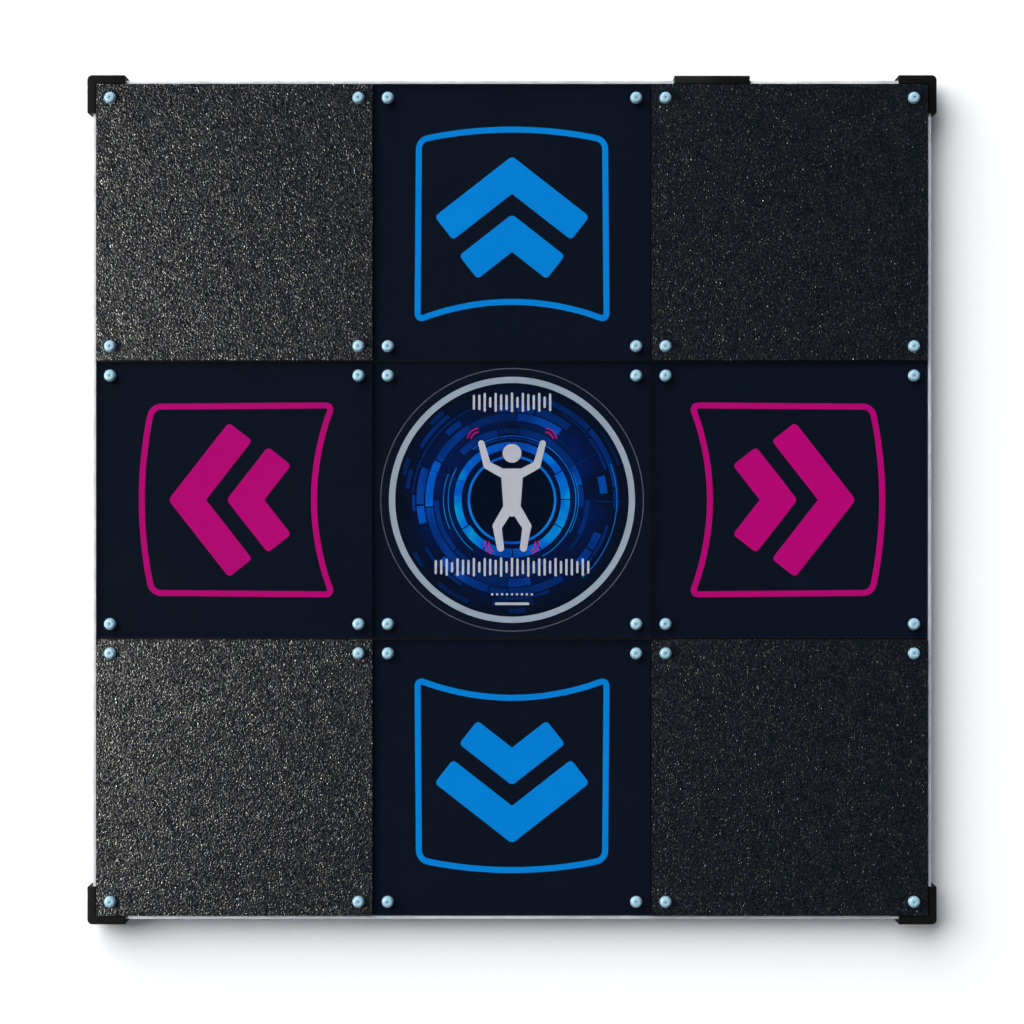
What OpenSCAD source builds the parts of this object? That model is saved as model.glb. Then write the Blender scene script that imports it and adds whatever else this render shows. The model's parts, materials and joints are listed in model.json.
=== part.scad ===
// Hard dance pad with nine square panels on a framed base board.
// Origin: centre of the footprint on the floor. +X right, +Y back (where the data socket is), +Z up.
// The four arrow panels press down on foam and close flat contacts; the other five are fixed.

/* [Panels] */
// Distance from one panel centre to the next
panel_pitch = 280; // [260:1:300]
// Gap between neighbouring panels
panel_gap = 1.6; // [1.2:0.1:2.4]
// Distance from a panel's edge to its screws
screw_inset = 14; // [12:0.5:18]
// Travel of an arrow panel before its contacts close
press_travel = 1.5; // [1:0.1:1.8]

/* [Layers] */
// Height of the rubber feet
foot_h = 4; // [4:0.5:6]
// Thickness of the base board
board_t = 12; // [12:0.5:16]
// Thickness of the battens on the base board
batten_t = 11; // [11:0.5:14]
// Thickness of the clear covers
cover_t = 5; // [3:0.5:6]
// Thickness of the printed sheets
graphic_t = 0.5; // [0.3:0.1:1]
// Thickness of an arrow panel's contact plate
plate_t = 1.5; // [1:0.1:1.8]
// Thickness of the anti-slip sheets
grip_sheet_t = 1; // [0.8:0.1:2]

/* [Frame] */
// Width of the battens along the outer edges
edge_batten_w = 30; // [26:1:30]
// Wall thickness of the edge profiles
profile_t = 3; // [2:0.5:3]
// How far the corner guards reach past the panel field
guard_reach = 8.5; // [8:0.1:10]
// Length of a corner guard's legs
guard_leg = 38; // [34:1:50]

/* [Controller] */
// Distance from the pad's middle line to the middle of the controller face
controller_x = 202; // [200:1:208]
// Width of the controller face
face_w = 76; // [72:1:80]

/* [Hidden] */
$fn = 48;
clearance = 0.3;
slip = 0.05;
eps = 1;

// panel field
field_half = 1.5 * panel_pitch;
panel_w = panel_pitch - panel_gap;
screw_offset = panel_w / 2 - screw_inset;
grid = [-1, 0, 1];

// heights, from the floor up
contact_t = 0.5;
board_z = foot_h;
batten_z = board_z + board_t;
support_z = batten_z + batten_t;
top_z = support_z + press_travel + contact_t + plate_t + graphic_t + cover_t;
cover_z = top_z - cover_t;
graphic_z = cover_z - graphic_t;
plate_z = graphic_z - plate_t;

// base board and battens
board_half = field_half - clearance;
row_batten_w = 2 * edge_batten_w;
cell_half = panel_pitch / 2 - edge_batten_w;
row_batten_y = panel_pitch / 2;
cross_batten_l = 2 * cell_half - 4 * clearance;
groove_w = 6;
groove_d = 5;
groove_z = batten_z - groove_d;

// contacts and foam
contact_w = 9;
contact_gap = 4;
contact_l = 190;
contact_x = cell_half + contact_gap / 2 + contact_w + 1;
contact_play = 0.02;
tab_w = 6;
tab_drop = 5;
foam_w = 24;
foam_l = 130;
foam_inset = 14;

// screws of the panels: M6 domed heads with a cross recess, on plain washers, in threaded inserts
screw_r = 3;
screw_head_r = 5.25;
screw_head_h = 3.3;
screw_rim_h = 0.6;
screw_l = 20;
screw_cross_l = 2.1;
screw_cross_w = 0.57;
screw_cross_d = 1.8;
washer_r = 6;
washer_t = 1;
fixed_hole_r = 3.3;
moving_hole_r = 3.6;
insert_r = 4.5;
insert_l = 10;

// wood screws
wood_screw_r = 1.75;
wood_head_r = 3.6;
wood_head_h = 1.2;
wood_screw_l = 10;

// edge profiles: an angle with its lower leg under the base board
profile_in = field_half + 0.4;
profile_out = profile_in + profile_t;
profile_top = top_z - 6;
profile_leg_w = 24;
profile_leg_t = 2;
profile_leg_z = board_z - profile_leg_t;
profile_screw_step = (field_half - edge_batten_w) / 3;
profile_screw_shift = 15;
profile_screw_inset = 10;

// corner guards
guard_out = field_half + guard_reach;
guard_in = profile_out + clearance;
guard_lip_in = field_half + clearance;
guard_z = 1;
guard_top = top_z - 2.5;
guard_lip_t = 3;
guard_foot_t = 0.7;
guard_foot_w = 10;
guard_corner_r = 5;
guard_end_chamfer = 3;
guard_screw_from_end = 10;
guard_screw_z = board_z + board_t / 2;
guard_screw_l = 20;
guard_head_r = 3.4;
guard_head_h = 2;

// feet
foot_r = 18;
foot_chamfer = 1;
foot_inset = 50;
foot_step = field_half - foot_inset;
foot_recess_r = 6;
foot_recess_d = 2;

// controller: a tray in the base board, with its face in the back edge
face_x0 = controller_x - face_w / 2;
face_out = field_half + guard_reach - 0.5;
face_in = field_half + clearance;
face_z = board_z + clearance;
face_top = top_z - 3;
tray_half = face_w / 2 - 3;
tray_l = 62;
tray_y0 = field_half - tray_l;
tray_z = board_z + 4.2;
tray_top = support_z - 2.3;
tray_wall = 2;
lid_t = 2;
pocket_clear = 0.5;
tray_room = 2;
circuit_t = 1.6;
circuit_half_x = 24;
rib_x = 20;
rib_w = 2;
rib_h = 1.5;
rib_inset = 2;
circuit_y0 = tray_y0 + tray_wall + 1;
circuit_y1 = field_half - 2;
circuit_z = tray_z + tray_wall + rib_h;
chip_y = tray_y0 + 33;
chip_w = 14;
chip_h = 1.6;
side_chip_x = 17;
side_chip_w = 6;
side_chip_h = 2;
post_r = 3.2;
post_inset = 6;
post_back = 8;
lid_screw_r = 1.25;
lid_head_r = 2.4;
lid_head_h = 0.28;
socket_w = 12;
socket_h = 11;
socket_l = 16;
socket_depth = 10;
mouth_half_w = 4.4;
mouth_half_h = 4.2;
socket_y1 = face_out - 3;
socket_y0 = socket_y1 - socket_l;
socket_z = circuit_z + circuit_t;
tongue_w = 5.4;
tongue_h = 3;
tongue_back = 2.2;
socket_mid_z = socket_z + socket_h / 2;
recess_w = socket_w + 3;
recess_h = socket_h + 2;
header_step = 12;
header_w = 7.5;
header_d = 6;
header_h = 5;
header_y = tray_y0 + tray_wall + 9;
header_top = circuit_z + circuit_t + header_h;
notch_w = 3.4;
notch_z = tray_top - 4;

// leads: one from each arrow's contact strips to its own header, laid in grooves of the base board
lead_r = 1.1;
lead_sides = 8;
lead_z = groove_z + lead_r + 0.4;
lead_top_z = support_z - 3;
lead_off = 4;
lead_step = 12;
lead_drop = 1;
lead_track_y = 14;
lead_track_x = 21;
entry_z = notch_z + lead_r + clearance;
rise_y = tray_y0 - 12;
tab_face = cell_half - contact_t;
// one value for each of up, down, left and right: the track it keeps to, counted so that none cross
track = [3, 1, 2, 0];
turn_y = [for (t = track) panel_pitch / 2 + edge_batten_w + lead_track_y + t * lead_step];
trunk_x = [for (t = track) row_batten_y + lead_track_x - t * lead_step];
header_x = [for (t = track) controller_x + (1.5 - t) * header_step];
// where each arrow's lead, and the link across its cell, leave the contact strips
left_feed_y = 60;
right_feed_y = 40;
left_link_y = 90;
other_link_y = 20;
feed_y = [turn_y[0], -turn_y[0], left_feed_y, right_feed_y];
link_y = [panel_pitch + other_link_y, -panel_pitch + other_link_y, left_link_y, other_link_y];

// the last stretch of each lead, over the tray's wall and down into its header
function lead_end(x) = [
    [x, rise_y, lead_z],
    [x, tray_y0 - 3, entry_z],
    [x, tray_y0 + tray_wall + 4, entry_z],
    [x, header_y, header_top + 2],
    [x, header_y, header_top]
];

// from the near contact pair down into the groove: x is the tab's face, d the way off it
function lead_start(x, y, d) = [
    [x, y, lead_top_z],
    [x + d * lead_off, y, lead_top_z - lead_drop],
    [x + d * lead_off, y, lead_z]
];

// the stretch from the trunk to the header column, shared by down, left and right
function lead_turns(i) = [
    [trunk_x[i], feed_y[i], lead_z],
    [trunk_x[i], turn_y[i], lead_z],
    [header_x[i], turn_y[i], lead_z]
];

up_feed = concat(lead_start(tab_face, feed_y[0], -1),
    [[header_x[0], turn_y[0], lead_z]], lead_end(header_x[0]));
down_feed = concat(lead_start(tab_face, feed_y[1], -1), lead_turns(1), lead_end(header_x[1]));
left_feed = concat(lead_start(tab_face - panel_pitch, feed_y[2], -1), lead_turns(2), lead_end(header_x[2]));
right_feed = concat(lead_start(panel_pitch - tab_face, feed_y[3], 1), lead_turns(3), lead_end(header_x[3]));
FEEDS = [up_feed, down_feed, left_feed, right_feed];

// a link joins the two contact pairs of a cell, across its floor
LINKS = [for (i = [0 : 3])
    let (cx = [0, 0, -panel_pitch, panel_pitch][i])
    concat(lead_start(cx - tab_face, link_y[i], 1),
        [for (k = [2 : -1 : 0]) lead_start(cx + tab_face, link_y[i], -1)[k]])];
ROUTES = concat(FEEDS, LINKS);

SIDES = ["up", "down", "left", "right"];

// ---------- helpers ----------

function centre_of(side) =
    side == "up" ? [0, panel_pitch] :
    side == "down" ? [0, -panel_pitch] :
    side == "left" ? [-panel_pitch, 0] :
    [panel_pitch, 0];

// a plate lying on height z, from its lowest to its highest corner in plan
module slab(x0, y0, x1, y1, z0, z1) {
    translate([x0, y0, z0])
        cube([x1 - x0, y1 - y0, z1 - z0]);
}

// children at the four screw places of one panel
module at_panel_screws() {
    for (sx = [-1, 1], sy = [-1, 1])
        translate([sx * screw_offset, sy * screw_offset, 0])
            children();
}

// children at the screw places of all nine panels
module at_all_screws() {
    for (ix = grid, iy = grid)
        translate([ix * panel_pitch, iy * panel_pitch, 0])
            at_panel_screws()
                children();
}

// a square panel layer with its four screw holes
module panel_layer(centre, z0, thickness, hole_r) {
    translate([centre[0], centre[1], z0])
        difference() {
            translate([-panel_w / 2, -panel_w / 2, 0])
                cube([panel_w, panel_w, thickness]);
            at_panel_screws()
                translate([0, 0, -eps])
                    cylinder(r = hole_r, h = thickness + 2 * eps);
        }
}

// holes for the threaded inserts, cut out of the battens
module insert_holes() {
    at_all_screws()
        translate([0, 0, support_z - insert_l])
            cylinder(r = insert_r + slip, h = insert_l + eps);
}

// ---------- base ----------

// a groove along every level stretch of a route, and on into the tray's pocket
module lead_grooves() {
    for (route = ROUTES)
        for (i = [2 : len(route) - 3])
            if (route[i][2] == lead_z && route[i + 1][2] == lead_z)
                groove_run(route[i], route[i + 1]);
    for (x = header_x)
        groove_run([x, rise_y], [x, tray_y0]);
}

module groove_run(a, b) {
    slab(min(a[0], b[0]) - groove_w / 2, min(a[1], b[1]) - groove_w / 2,
         max(a[0], b[0]) + groove_w / 2, max(a[1], b[1]) + groove_w / 2,
         groove_z, batten_z + eps);
}

module base_board() {
    color("burlywood")
        difference() {
            slab(-board_half, -board_half, board_half, board_half, board_z, batten_z);
            slab(controller_x - tray_half - pocket_clear, tray_y0 - pocket_clear,
                 controller_x + tray_half + pocket_clear, board_half + eps,
                 tray_z - clearance, batten_z + eps);
            lead_grooves();
            at_feet()
                translate([0, 0, board_z - eps])
                    cylinder(r = wood_screw_r + slip, h = wood_screw_l + eps);
            at_profile_screws()
                translate([0, 0, board_z - eps])
                    cylinder(r = wood_screw_r + slip, h = wood_screw_l + eps);
            at_guard_screws()
                translate([0, 0, -guard_head_h - clearance - guard_screw_l - slip])
                    cylinder(r = wood_screw_r + slip, h = guard_screw_l);
        }
}

// room left for the controller's tray between the battens
module controller_room() {
    slab(controller_x - tray_half - tray_room, tray_y0 - tray_room,
         controller_x + tray_half + tray_room, board_half + eps, batten_z - eps, support_z + eps);
}

module batten_front() {
    color("#2b241d")
        difference() {
            slab(-board_half, -board_half, board_half, -board_half + edge_batten_w, batten_z, support_z);
            insert_holes();
        }
}

module batten_back() {
    color("#2b241d")
        difference() {
            slab(-board_half, board_half - edge_batten_w, board_half, board_half, batten_z, support_z);
            controller_room();
            insert_holes();
        }
}

module batten_row(y) {
    color("#2b241d")
        difference() {
            slab(-board_half, y - row_batten_w / 2, board_half, y + row_batten_w / 2, batten_z, support_z);
            insert_holes();
        }
}

module batten_row_front() {
    batten_row(-row_batten_y);
}

module batten_row_back() {
    batten_row(row_batten_y);
}

// short pieces between the rows: one for each cell, left and right
module cross_pieces(x0, x1) {
    for (side = [-1, 1], iy = grid)
        slab(min(side * x0, side * x1), iy * panel_pitch - cross_batten_l / 2,
             max(side * x0, side * x1), iy * panel_pitch + cross_batten_l / 2, batten_z, support_z);
}

module battens_cross_outer() {
    color("#2b241d")
        cross_pieces(field_half - edge_batten_w + slip, board_half);
}

module battens_cross_inner() {
    color("#2b241d")
        difference() {
            cross_pieces(row_batten_y - row_batten_w / 2 + slip, row_batten_y + row_batten_w / 2 - slip);
            controller_room();
        }
}

// ---------- frame ----------

// one edge profile along the front: an angle, mitred at both ends
module profile_bar() {
    difference() {
        intersection() {
            translate([-profile_out, 0, 0])
                rotate([90, 0, 90])
                    linear_extrude(2 * profile_out)
                        polygon([
                            [-profile_out, profile_leg_z],
                            [-profile_out + profile_leg_w, profile_leg_z],
                            [-profile_out + profile_leg_w, board_z - slip],
                            [-profile_in, board_z - slip],
                            [-profile_in, profile_top],
                            [-profile_out, profile_top]
                        ]);
            linear_extrude(top_z)
                polygon([
                    [-profile_out - eps + slip, -profile_out - eps],
                    [profile_out + eps - slip, -profile_out - eps],
                    [0, -slip]
                ]);
        }
        profile_screw_row()
            translate([0, 0, profile_leg_z - eps])
                cylinder(r = wood_screw_r + clearance, h = profile_leg_t + 2 * eps);
        guard_screw_pair()
            rotate([90, 0, 0])
                translate([0, 0, -eps])
                    cylinder(r = wood_screw_r + clearance, h = profile_t + 2 * eps);
    }
}

// screw places along the front profile's lower leg
module profile_screw_row() {
    for (i = [-3 : 3])
        translate([i * profile_screw_step + (abs(i) == 3 ? -sign(i) * profile_screw_shift : 0),
                   -profile_out + profile_leg_w - profile_screw_inset, 0])
            children();
}

// the two guard screw places along the front, on the profile's inner face
module guard_screw_pair() {
    for (s = [-1, 1])
        translate([s * (guard_out - guard_leg + guard_screw_from_end), -profile_in, guard_screw_z])
            children();
}

module at_profile_screws() {
    for (a = [0, 90, 180, 270])
        rotate([0, 0, a])
            profile_screw_row()
                children();
}

// children with +Z pointing out of the pad and their origin on the guard's outer face
module at_guard_screws() {
    for (a = [0, 90, 180, 270])
        rotate([0, 0, a])
            for (s = [-1, 1])
                translate([s * (guard_out - guard_leg + guard_screw_from_end), -guard_out, guard_screw_z])
                    rotate([90, 0, 0])
                        children();
}

module frame_profile(angle) {
    color("silver")
        rotate([0, 0, angle])
            profile_bar();
}

module frame_profile_back() {
    color("silver")
        difference() {
            rotate([0, 0, 180])
                profile_bar();
            slab(face_x0 - clearance, profile_in - eps, face_x0 + face_w + clearance, profile_out + eps,
                 board_z + slip, top_z);
        }
}

// screw driven upwards, its pan head below the origin
module wood_screw(length) {
    translate([0, 0, -wood_head_h])
        cylinder(r = wood_head_r, h = wood_head_h);
    translate([0, 0, -slip])
        cylinder(r = wood_screw_r, h = length);
}

module frame_profile_screws() {
    color("lightsteelblue")
        at_profile_screws()
            translate([0, 0, profile_leg_z])
                wood_screw(wood_screw_l);
}

// one guard at the front right corner: two walls with a lip over the profile and one under it
module guard_solid() {
    difference() {
        translate([guard_out - guard_leg, -guard_out, guard_z])
            linear_extrude(guard_top - guard_z)
                guard_outline();
        // the room of the profile, between the lips
        slab(guard_out - guard_leg - eps, -guard_in, guard_in, guard_leg,
             guard_z + guard_foot_t, guard_top - guard_lip_t);
        // the room of the panel corner, above
        slab(guard_out - guard_leg - eps, -guard_lip_in, guard_lip_in, guard_leg,
             guard_top - guard_lip_t - eps, top_z);
        // the open inside, below
        slab(guard_out - guard_leg - eps, -guard_out + guard_foot_w, guard_out - guard_foot_w, guard_leg,
             0, board_z);
        // sloping foot at both free ends
        translate([guard_out - guard_leg, -guard_out - eps, guard_z])
            rotate([0, 45, 0])
                cube([2 * guard_end_chamfer, 40, 2 * guard_end_chamfer], center = true);
        translate([guard_out, -guard_out + guard_leg, guard_z])
            rotate([45, 0, 0])
                cube([40, 2 * guard_end_chamfer, 2 * guard_end_chamfer], center = true);
    }
}

// plan of the guard: an L with a rounded outer corner
module guard_outline() {
    difference() {
        union() {
            square([guard_leg - guard_corner_r, guard_leg]);
            translate([0, guard_corner_r])
                square([guard_leg, guard_leg - guard_corner_r]);
            translate([guard_leg - guard_corner_r, guard_corner_r])
                circle(r = guard_corner_r);
        }
        translate([-eps, 2 * guard_reach])
            square([guard_leg - 2 * guard_reach + eps, guard_leg]);
    }
}

module corner_guard(angle) {
    color("#1b1c1e")
        rotate([0, 0, angle])
            difference() {
                guard_solid();
                translate([guard_out - guard_leg + guard_screw_from_end, -guard_out, guard_screw_z])
                    rotate([90, 0, 0])
                        guard_screw_hole();
                translate([guard_out, -guard_out + guard_leg - guard_screw_from_end, guard_screw_z])
                    rotate([0, 90, 0])
                        guard_screw_hole();
            }
}

// hole with a counterbore that the head lies in, +Z out of the guard
module guard_screw_hole() {
    translate([0, 0, -guard_head_h - clearance])
        cylinder(r = guard_head_r + clearance, h = guard_head_h + clearance + eps);
    translate([0, 0, -2 * guard_reach])
        cylinder(r = wood_screw_r + clearance, h = 2 * guard_reach);
}

module corner_guard_screws() {
    color("lightsteelblue")
        at_guard_screws() {
            translate([0, 0, -guard_head_h - clearance])
                cylinder(r = guard_head_r, h = guard_head_h);
            translate([0, 0, -guard_head_h - clearance - guard_screw_l])
                cylinder(r = wood_screw_r, h = guard_screw_l + slip);
        }
}

// ---------- feet ----------

module at_feet() {
    for (ix = grid, iy = grid)
        translate([ix * foot_step, iy * foot_step, 0])
            children();
}

module rubber_feet() {
    color("#222222")
        at_feet()
            difference() {
                union() {
                    cylinder(r1 = foot_r - foot_chamfer, r2 = foot_r, h = foot_chamfer);
                    translate([0, 0, foot_chamfer])
                        cylinder(r = foot_r, h = foot_h - foot_chamfer);
                }
                translate([0, 0, -eps])
                    cylinder(r = foot_recess_r, h = foot_recess_d + eps);
                translate([0, 0, -eps])
                    cylinder(r = wood_screw_r + clearance, h = foot_h + 2 * eps);
            }
}

module foot_screws() {
    color("lightsteelblue")
        at_feet()
            translate([0, 0, foot_recess_d])
                wood_screw(wood_screw_l);
}

// ---------- fixed panels ----------

module grip_board(ix, iy) {
    color("#3a332b")
        panel_layer([ix * panel_pitch, iy * panel_pitch], support_z, top_z - grip_sheet_t - support_z,
                    fixed_hole_r);
}

module grip_sheet(ix, iy) {
    color("#2b2d30")
        panel_layer([ix * panel_pitch, iy * panel_pitch], top_z - grip_sheet_t, grip_sheet_t,
                    fixed_hole_r);
}

module centre_cover() {
    color("#9fb4c455")
        panel_layer([0, 0], cover_z, cover_t, fixed_hole_r);
}

module centre_graphic() {
    color("#10203c")
        panel_layer([0, 0], graphic_z, graphic_t, fixed_hole_r);
}

module centre_backing() {
    color("#2a2622")
        panel_layer([0, 0], support_z, graphic_z - support_z, fixed_hole_r);
}

// ---------- arrow panels ----------

module arrow_cover(side) {
    color("#9fb4c455")
        panel_layer(centre_of(side), cover_z, cover_t, moving_hole_r);
}

// up and down are printed in blue, left and right in magenta
module arrow_graphic(side) {
    color(side == "up" || side == "down" ? "#007dd7" : "#b0007a")
        panel_layer(centre_of(side), graphic_z, graphic_t, moving_hole_r);
}

module contact_plate(side) {
    color("gainsboro")
        panel_layer(centre_of(side), plate_z, plate_t, moving_hole_r);
}

// two pairs of strips on the battens left and right of the cell; the moving plate bridges a pair
module contact_strips(side) {
    c = centre_of(side);
    lead_ys = [for (i = [0 : 3]) if (SIDES[i] == side) each [feed_y[i] - c[1], link_y[i] - c[1]]];
    near = side == "right" ? -1 : 1;
    color("goldenrod")
        translate([c[0], c[1], support_z])
            for (sx = [-1, 1]) {
                for (pair = [-1, 1])
                    strip(sx * (contact_x + pair * (contact_w + contact_gap) / 2));
                // tabs bent down the batten's side, where the leads are soldered
                for (y = sx == near ? lead_ys : [lead_ys[1]])
                    contact_tab(sx, y);
            }
}

module strip(x) {
    slab(x - contact_w / 2, -contact_l / 2, x + contact_w / 2, contact_l / 2,
         0, contact_t - contact_play);
}

module contact_tab(sx, y) {
    inner = cell_half - contact_t;
    outer = contact_x - (contact_w + contact_gap) / 2;
    slab(min(sx * inner, sx * outer), y - tab_w / 2, max(sx * inner, sx * outer), y + tab_w / 2,
         0, contact_t - contact_play);
    slab(min(sx * inner, sx * cell_half), y - tab_w / 2, max(sx * inner, sx * cell_half), y + tab_w / 2,
         -tab_drop, contact_t - contact_play);
}

// four foam strips in a square inside the cell, from the base board to the plate
module foam_strips(side) {
    c = centre_of(side);
    color("#45484c")
        translate([c[0], c[1], 0])
            for (a = [0, 90, 180, 270])
                rotate([0, 0, a])
                    slab(-foam_l / 2, -cell_half + foam_inset, foam_l / 2, -cell_half + foam_inset + foam_w,
                         batten_z, plate_z);
}

// ---------- panel fasteners ----------

// domed head: a short rim under a slice of a ball, with a cross recess
module domed_head() {
    dome_h = screw_head_h - screw_rim_h;
    dome_r = (screw_head_r * screw_head_r + dome_h * dome_h) / (2 * dome_h);
    difference() {
        intersection() {
            cylinder(r = screw_head_r, h = screw_head_h);
            translate([0, 0, screw_head_h - dome_r])
                sphere(r = dome_r);
        }
        for (a = [0, 90])
            rotate([0, 0, a])
                slab(-screw_cross_l, -screw_cross_w, screw_cross_l, screw_cross_w,
                     screw_head_h - screw_cross_d, screw_head_h + eps);
    }
}

module panel_screws() {
    color("#bcd3de")
        at_all_screws() {
            translate([0, 0, top_z + washer_t])
                domed_head();
            translate([0, 0, top_z + washer_t - screw_l])
                cylinder(r = screw_r, h = screw_l + slip);
        }
}

module panel_washers() {
    color("#c9d6dc")
        at_all_screws()
            translate([0, 0, top_z])
                difference() {
                    cylinder(r = washer_r, h = washer_t - 0.01);
                    translate([0, 0, -eps])
                        cylinder(r = screw_r + clearance, h = washer_t + 2 * eps);
                }
}

module threaded_inserts() {
    color("#c8a24a")
        at_all_screws()
            translate([0, 0, support_z - insert_l])
                difference() {
                    cylinder(r = insert_r, h = insert_l);
                    translate([0, 0, -eps])
                        cylinder(r = screw_r + slip, h = insert_l + 2 * eps);
                }
}

// ---------- controller ----------

module at_controller_posts() {
    for (sx = [-1, 1], y = [tray_y0 + post_inset, field_half - post_back])
        translate([controller_x + sx * (tray_half - post_inset), y, 0])
            children();
}

// tray with its thick outer face; the face has a recess around the socket's mouth
module controller_housing() {
    color("#141517")
        difference() {
            union() {
                slab(face_x0, face_in, face_x0 + face_w, face_out, face_z, face_top);
                slab(controller_x - tray_half, tray_y0, controller_x + tray_half, face_in + eps,
                     tray_z, tray_top);
            }
            slab(controller_x - tray_half + tray_wall, tray_y0 + tray_wall,
                 controller_x + tray_half - tray_wall, face_in, tray_z + tray_wall, top_z);
            for (x = header_x)
                slab(x - notch_w / 2, tray_y0 - eps, x + notch_w / 2, tray_y0 + tray_wall + eps,
                     notch_z, tray_top + eps);
            slab(controller_x - socket_w / 2 - clearance, face_in - eps,
                 controller_x + socket_w / 2 + clearance, face_out + eps,
                 socket_z - clearance, socket_z + socket_h + clearance);
            slab(controller_x - recess_w / 2, socket_y1, controller_x + recess_w / 2, face_out + eps,
                 socket_mid_z - recess_h / 2, socket_mid_z + recess_h / 2);
        }
    color("#141517")
        at_controller_posts()
            difference() {
                translate([0, 0, tray_z + tray_wall - slip])
                    cylinder(r = post_r, h = tray_top - tray_z - tray_wall + slip);
                translate([0, 0, tray_z + tray_wall + 1])
                    cylinder(r = lid_screw_r + slip, h = top_z);
            }
    // ribs that the circuit board stands on
    color("#141517")
        for (sx = [-1, 1])
            slab(controller_x + sx * rib_x - rib_w / 2, circuit_y0 + rib_inset,
                 controller_x + sx * rib_x + rib_w / 2, circuit_y1 - rib_inset,
                 tray_z + tray_wall - slip, circuit_z);
}

module controller_lid() {
    color("#1c1e21")
        difference() {
            slab(controller_x - tray_half, tray_y0, controller_x + tray_half, face_in - clearance,
                 tray_top, tray_top + lid_t);
            at_controller_posts()
                translate([0, 0, tray_top - eps])
                    cylinder(r = lid_screw_r + clearance, h = lid_t + 2 * eps);
        }
}

module controller_circuit() {
    color("darkgreen")
        slab(controller_x - circuit_half_x, circuit_y0, controller_x + circuit_half_x, circuit_y1,
             circuit_z, circuit_z + circuit_t);
}

// one chip on the circuit board, x from the middle of the controller
module chip(x, w, l, h) {
    slab(controller_x + x - w / 2, chip_y - l / 2, controller_x + x + w / 2, chip_y + l / 2,
         circuit_z + circuit_t, circuit_z + circuit_t + h);
}

// processor, crystal, regulator and the four pin headers that the leads plug into
module controller_chips() {
    z0 = circuit_z + circuit_t;
    color("#202020") {
        chip(0, chip_w, chip_w, chip_h);
        chip(-side_chip_x, side_chip_w, side_chip_w + 2, side_chip_h);
        chip(side_chip_x, side_chip_w, side_chip_w - 2, side_chip_h);
    }
    color("ivory")
        for (x = header_x)
            slab(x - header_w / 2, header_y - header_d / 2, x + header_w / 2, header_y + header_d / 2,
                 z0, z0 + header_h);
}

// square socket: a metal shell with a tongue that stops short of the mouth
module data_socket() {
    color("silver")
        difference() {
            slab(controller_x - socket_w / 2, socket_y0, controller_x + socket_w / 2, socket_y1,
                 socket_z, socket_z + socket_h);
            slab(controller_x - mouth_half_w, socket_y1 - socket_depth,
                 controller_x + mouth_half_w, socket_y1 + eps,
                 socket_mid_z - mouth_half_h, socket_mid_z + mouth_half_h);
        }
    color("#f0f0ea")
        slab(controller_x - tongue_w / 2, socket_y1 - socket_depth - eps, controller_x + tongue_w / 2,
             socket_y1 - tongue_back, socket_mid_z - tongue_h / 2, socket_mid_z + tongue_h / 2);
}

module controller_screws() {
    color("lightsteelblue")
        at_controller_posts() {
            translate([0, 0, tray_top + lid_t])
                cylinder(r = lid_head_r, h = lid_head_h);
            translate([0, 0, tray_top - 7])
                cylinder(r = lid_screw_r, h = 7 + lid_t + slip);
        }
}

// ---------- leads ----------

module contact_leads() {
    color("crimson")
        for (route = ROUTES)
            tube(route);
}

// points moved along a direction until they lie in the plane through p with that normal
function slide(points, p, along, normal) =
    [for (q = points) q + along * (((p - q) * normal) / (along * normal))];

function unit(v) = v / norm(v);

function way(route, i) = unit(route[i + 1] - route[i]);

// normal of the cut across a route at point i: square at the ends, half-way round a bend between
function cut(route, i) =
    i == 0 ? way(route, 0) :
    i == len(route) - 1 ? way(route, i - 1) :
    unit(way(route, i - 1) + way(route, i));

// one ring after another, each slid on from the last, so the tube keeps its section in a bend
function rings(route, i, points) =
    i == len(route) ? points :
    concat(points, rings(route, i + 1,
        slide(points, route[min(i + 1, len(route) - 1)], way(route, min(i, len(route) - 2)),
              cut(route, min(i + 1, len(route) - 1)))));

module tube(route) {
    first = way(route, 0);
    side = unit(cross(first, [0, 1, 0]));
    up = cross(side, first);
    n = lead_sides;
    start = [for (k = [0 : n - 1])
        route[0] + lead_r * (cos(360 * k / n) * side + sin(360 * k / n) * up)];
    points = rings(route, 0, start);
    last = (len(route) - 1) * n;
    walls = [for (i = [0 : len(route) - 2], k = [0 : n - 1])
        [i * n + k, (i + 1) * n + k, (i + 1) * n + (k + 1) % n, i * n + (k + 1) % n]];
    caps = [[for (k = [0 : n - 1]) k], [for (k = [n - 1 : -1 : 0]) last + k]];
    polyhedron(points, concat(walls, caps));
}

// ---------- nodes ----------

base_board();
batten_front();
batten_back();
batten_row_front();
batten_row_back();
battens_cross_outer();
battens_cross_inner();
frame_profile(0);  // frame_profile_front
frame_profile_back();
frame_profile(270);  // frame_profile_left
frame_profile(90);  // frame_profile_right
frame_profile_screws();
corner_guard(270);  // corner_guard_front_left
corner_guard(0);  // corner_guard_front_right
corner_guard(180);  // corner_guard_back_left
corner_guard(90);  // corner_guard_back_right
corner_guard_screws();
rubber_feet();
foot_screws();
grip_board(-1, -1);  // grip_board_front_left
grip_board(1, -1);  // grip_board_front_right
grip_board(-1, 1);  // grip_board_back_left
grip_board(1, 1);  // grip_board_back_right
grip_sheet(-1, -1);  // grip_sheet_front_left
grip_sheet(1, -1);  // grip_sheet_front_right
grip_sheet(-1, 1);  // grip_sheet_back_left
grip_sheet(1, 1);  // grip_sheet_back_right
centre_cover();
centre_graphic();
centre_backing();
arrow_cover("up");  // arrow_cover_up
arrow_cover("down");  // arrow_cover_down
arrow_cover("left");  // arrow_cover_left
arrow_cover("right");  // arrow_cover_right
arrow_graphic("up");  // arrow_graphic_up
arrow_graphic("down");  // arrow_graphic_down
arrow_graphic("left");  // arrow_graphic_left
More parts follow.
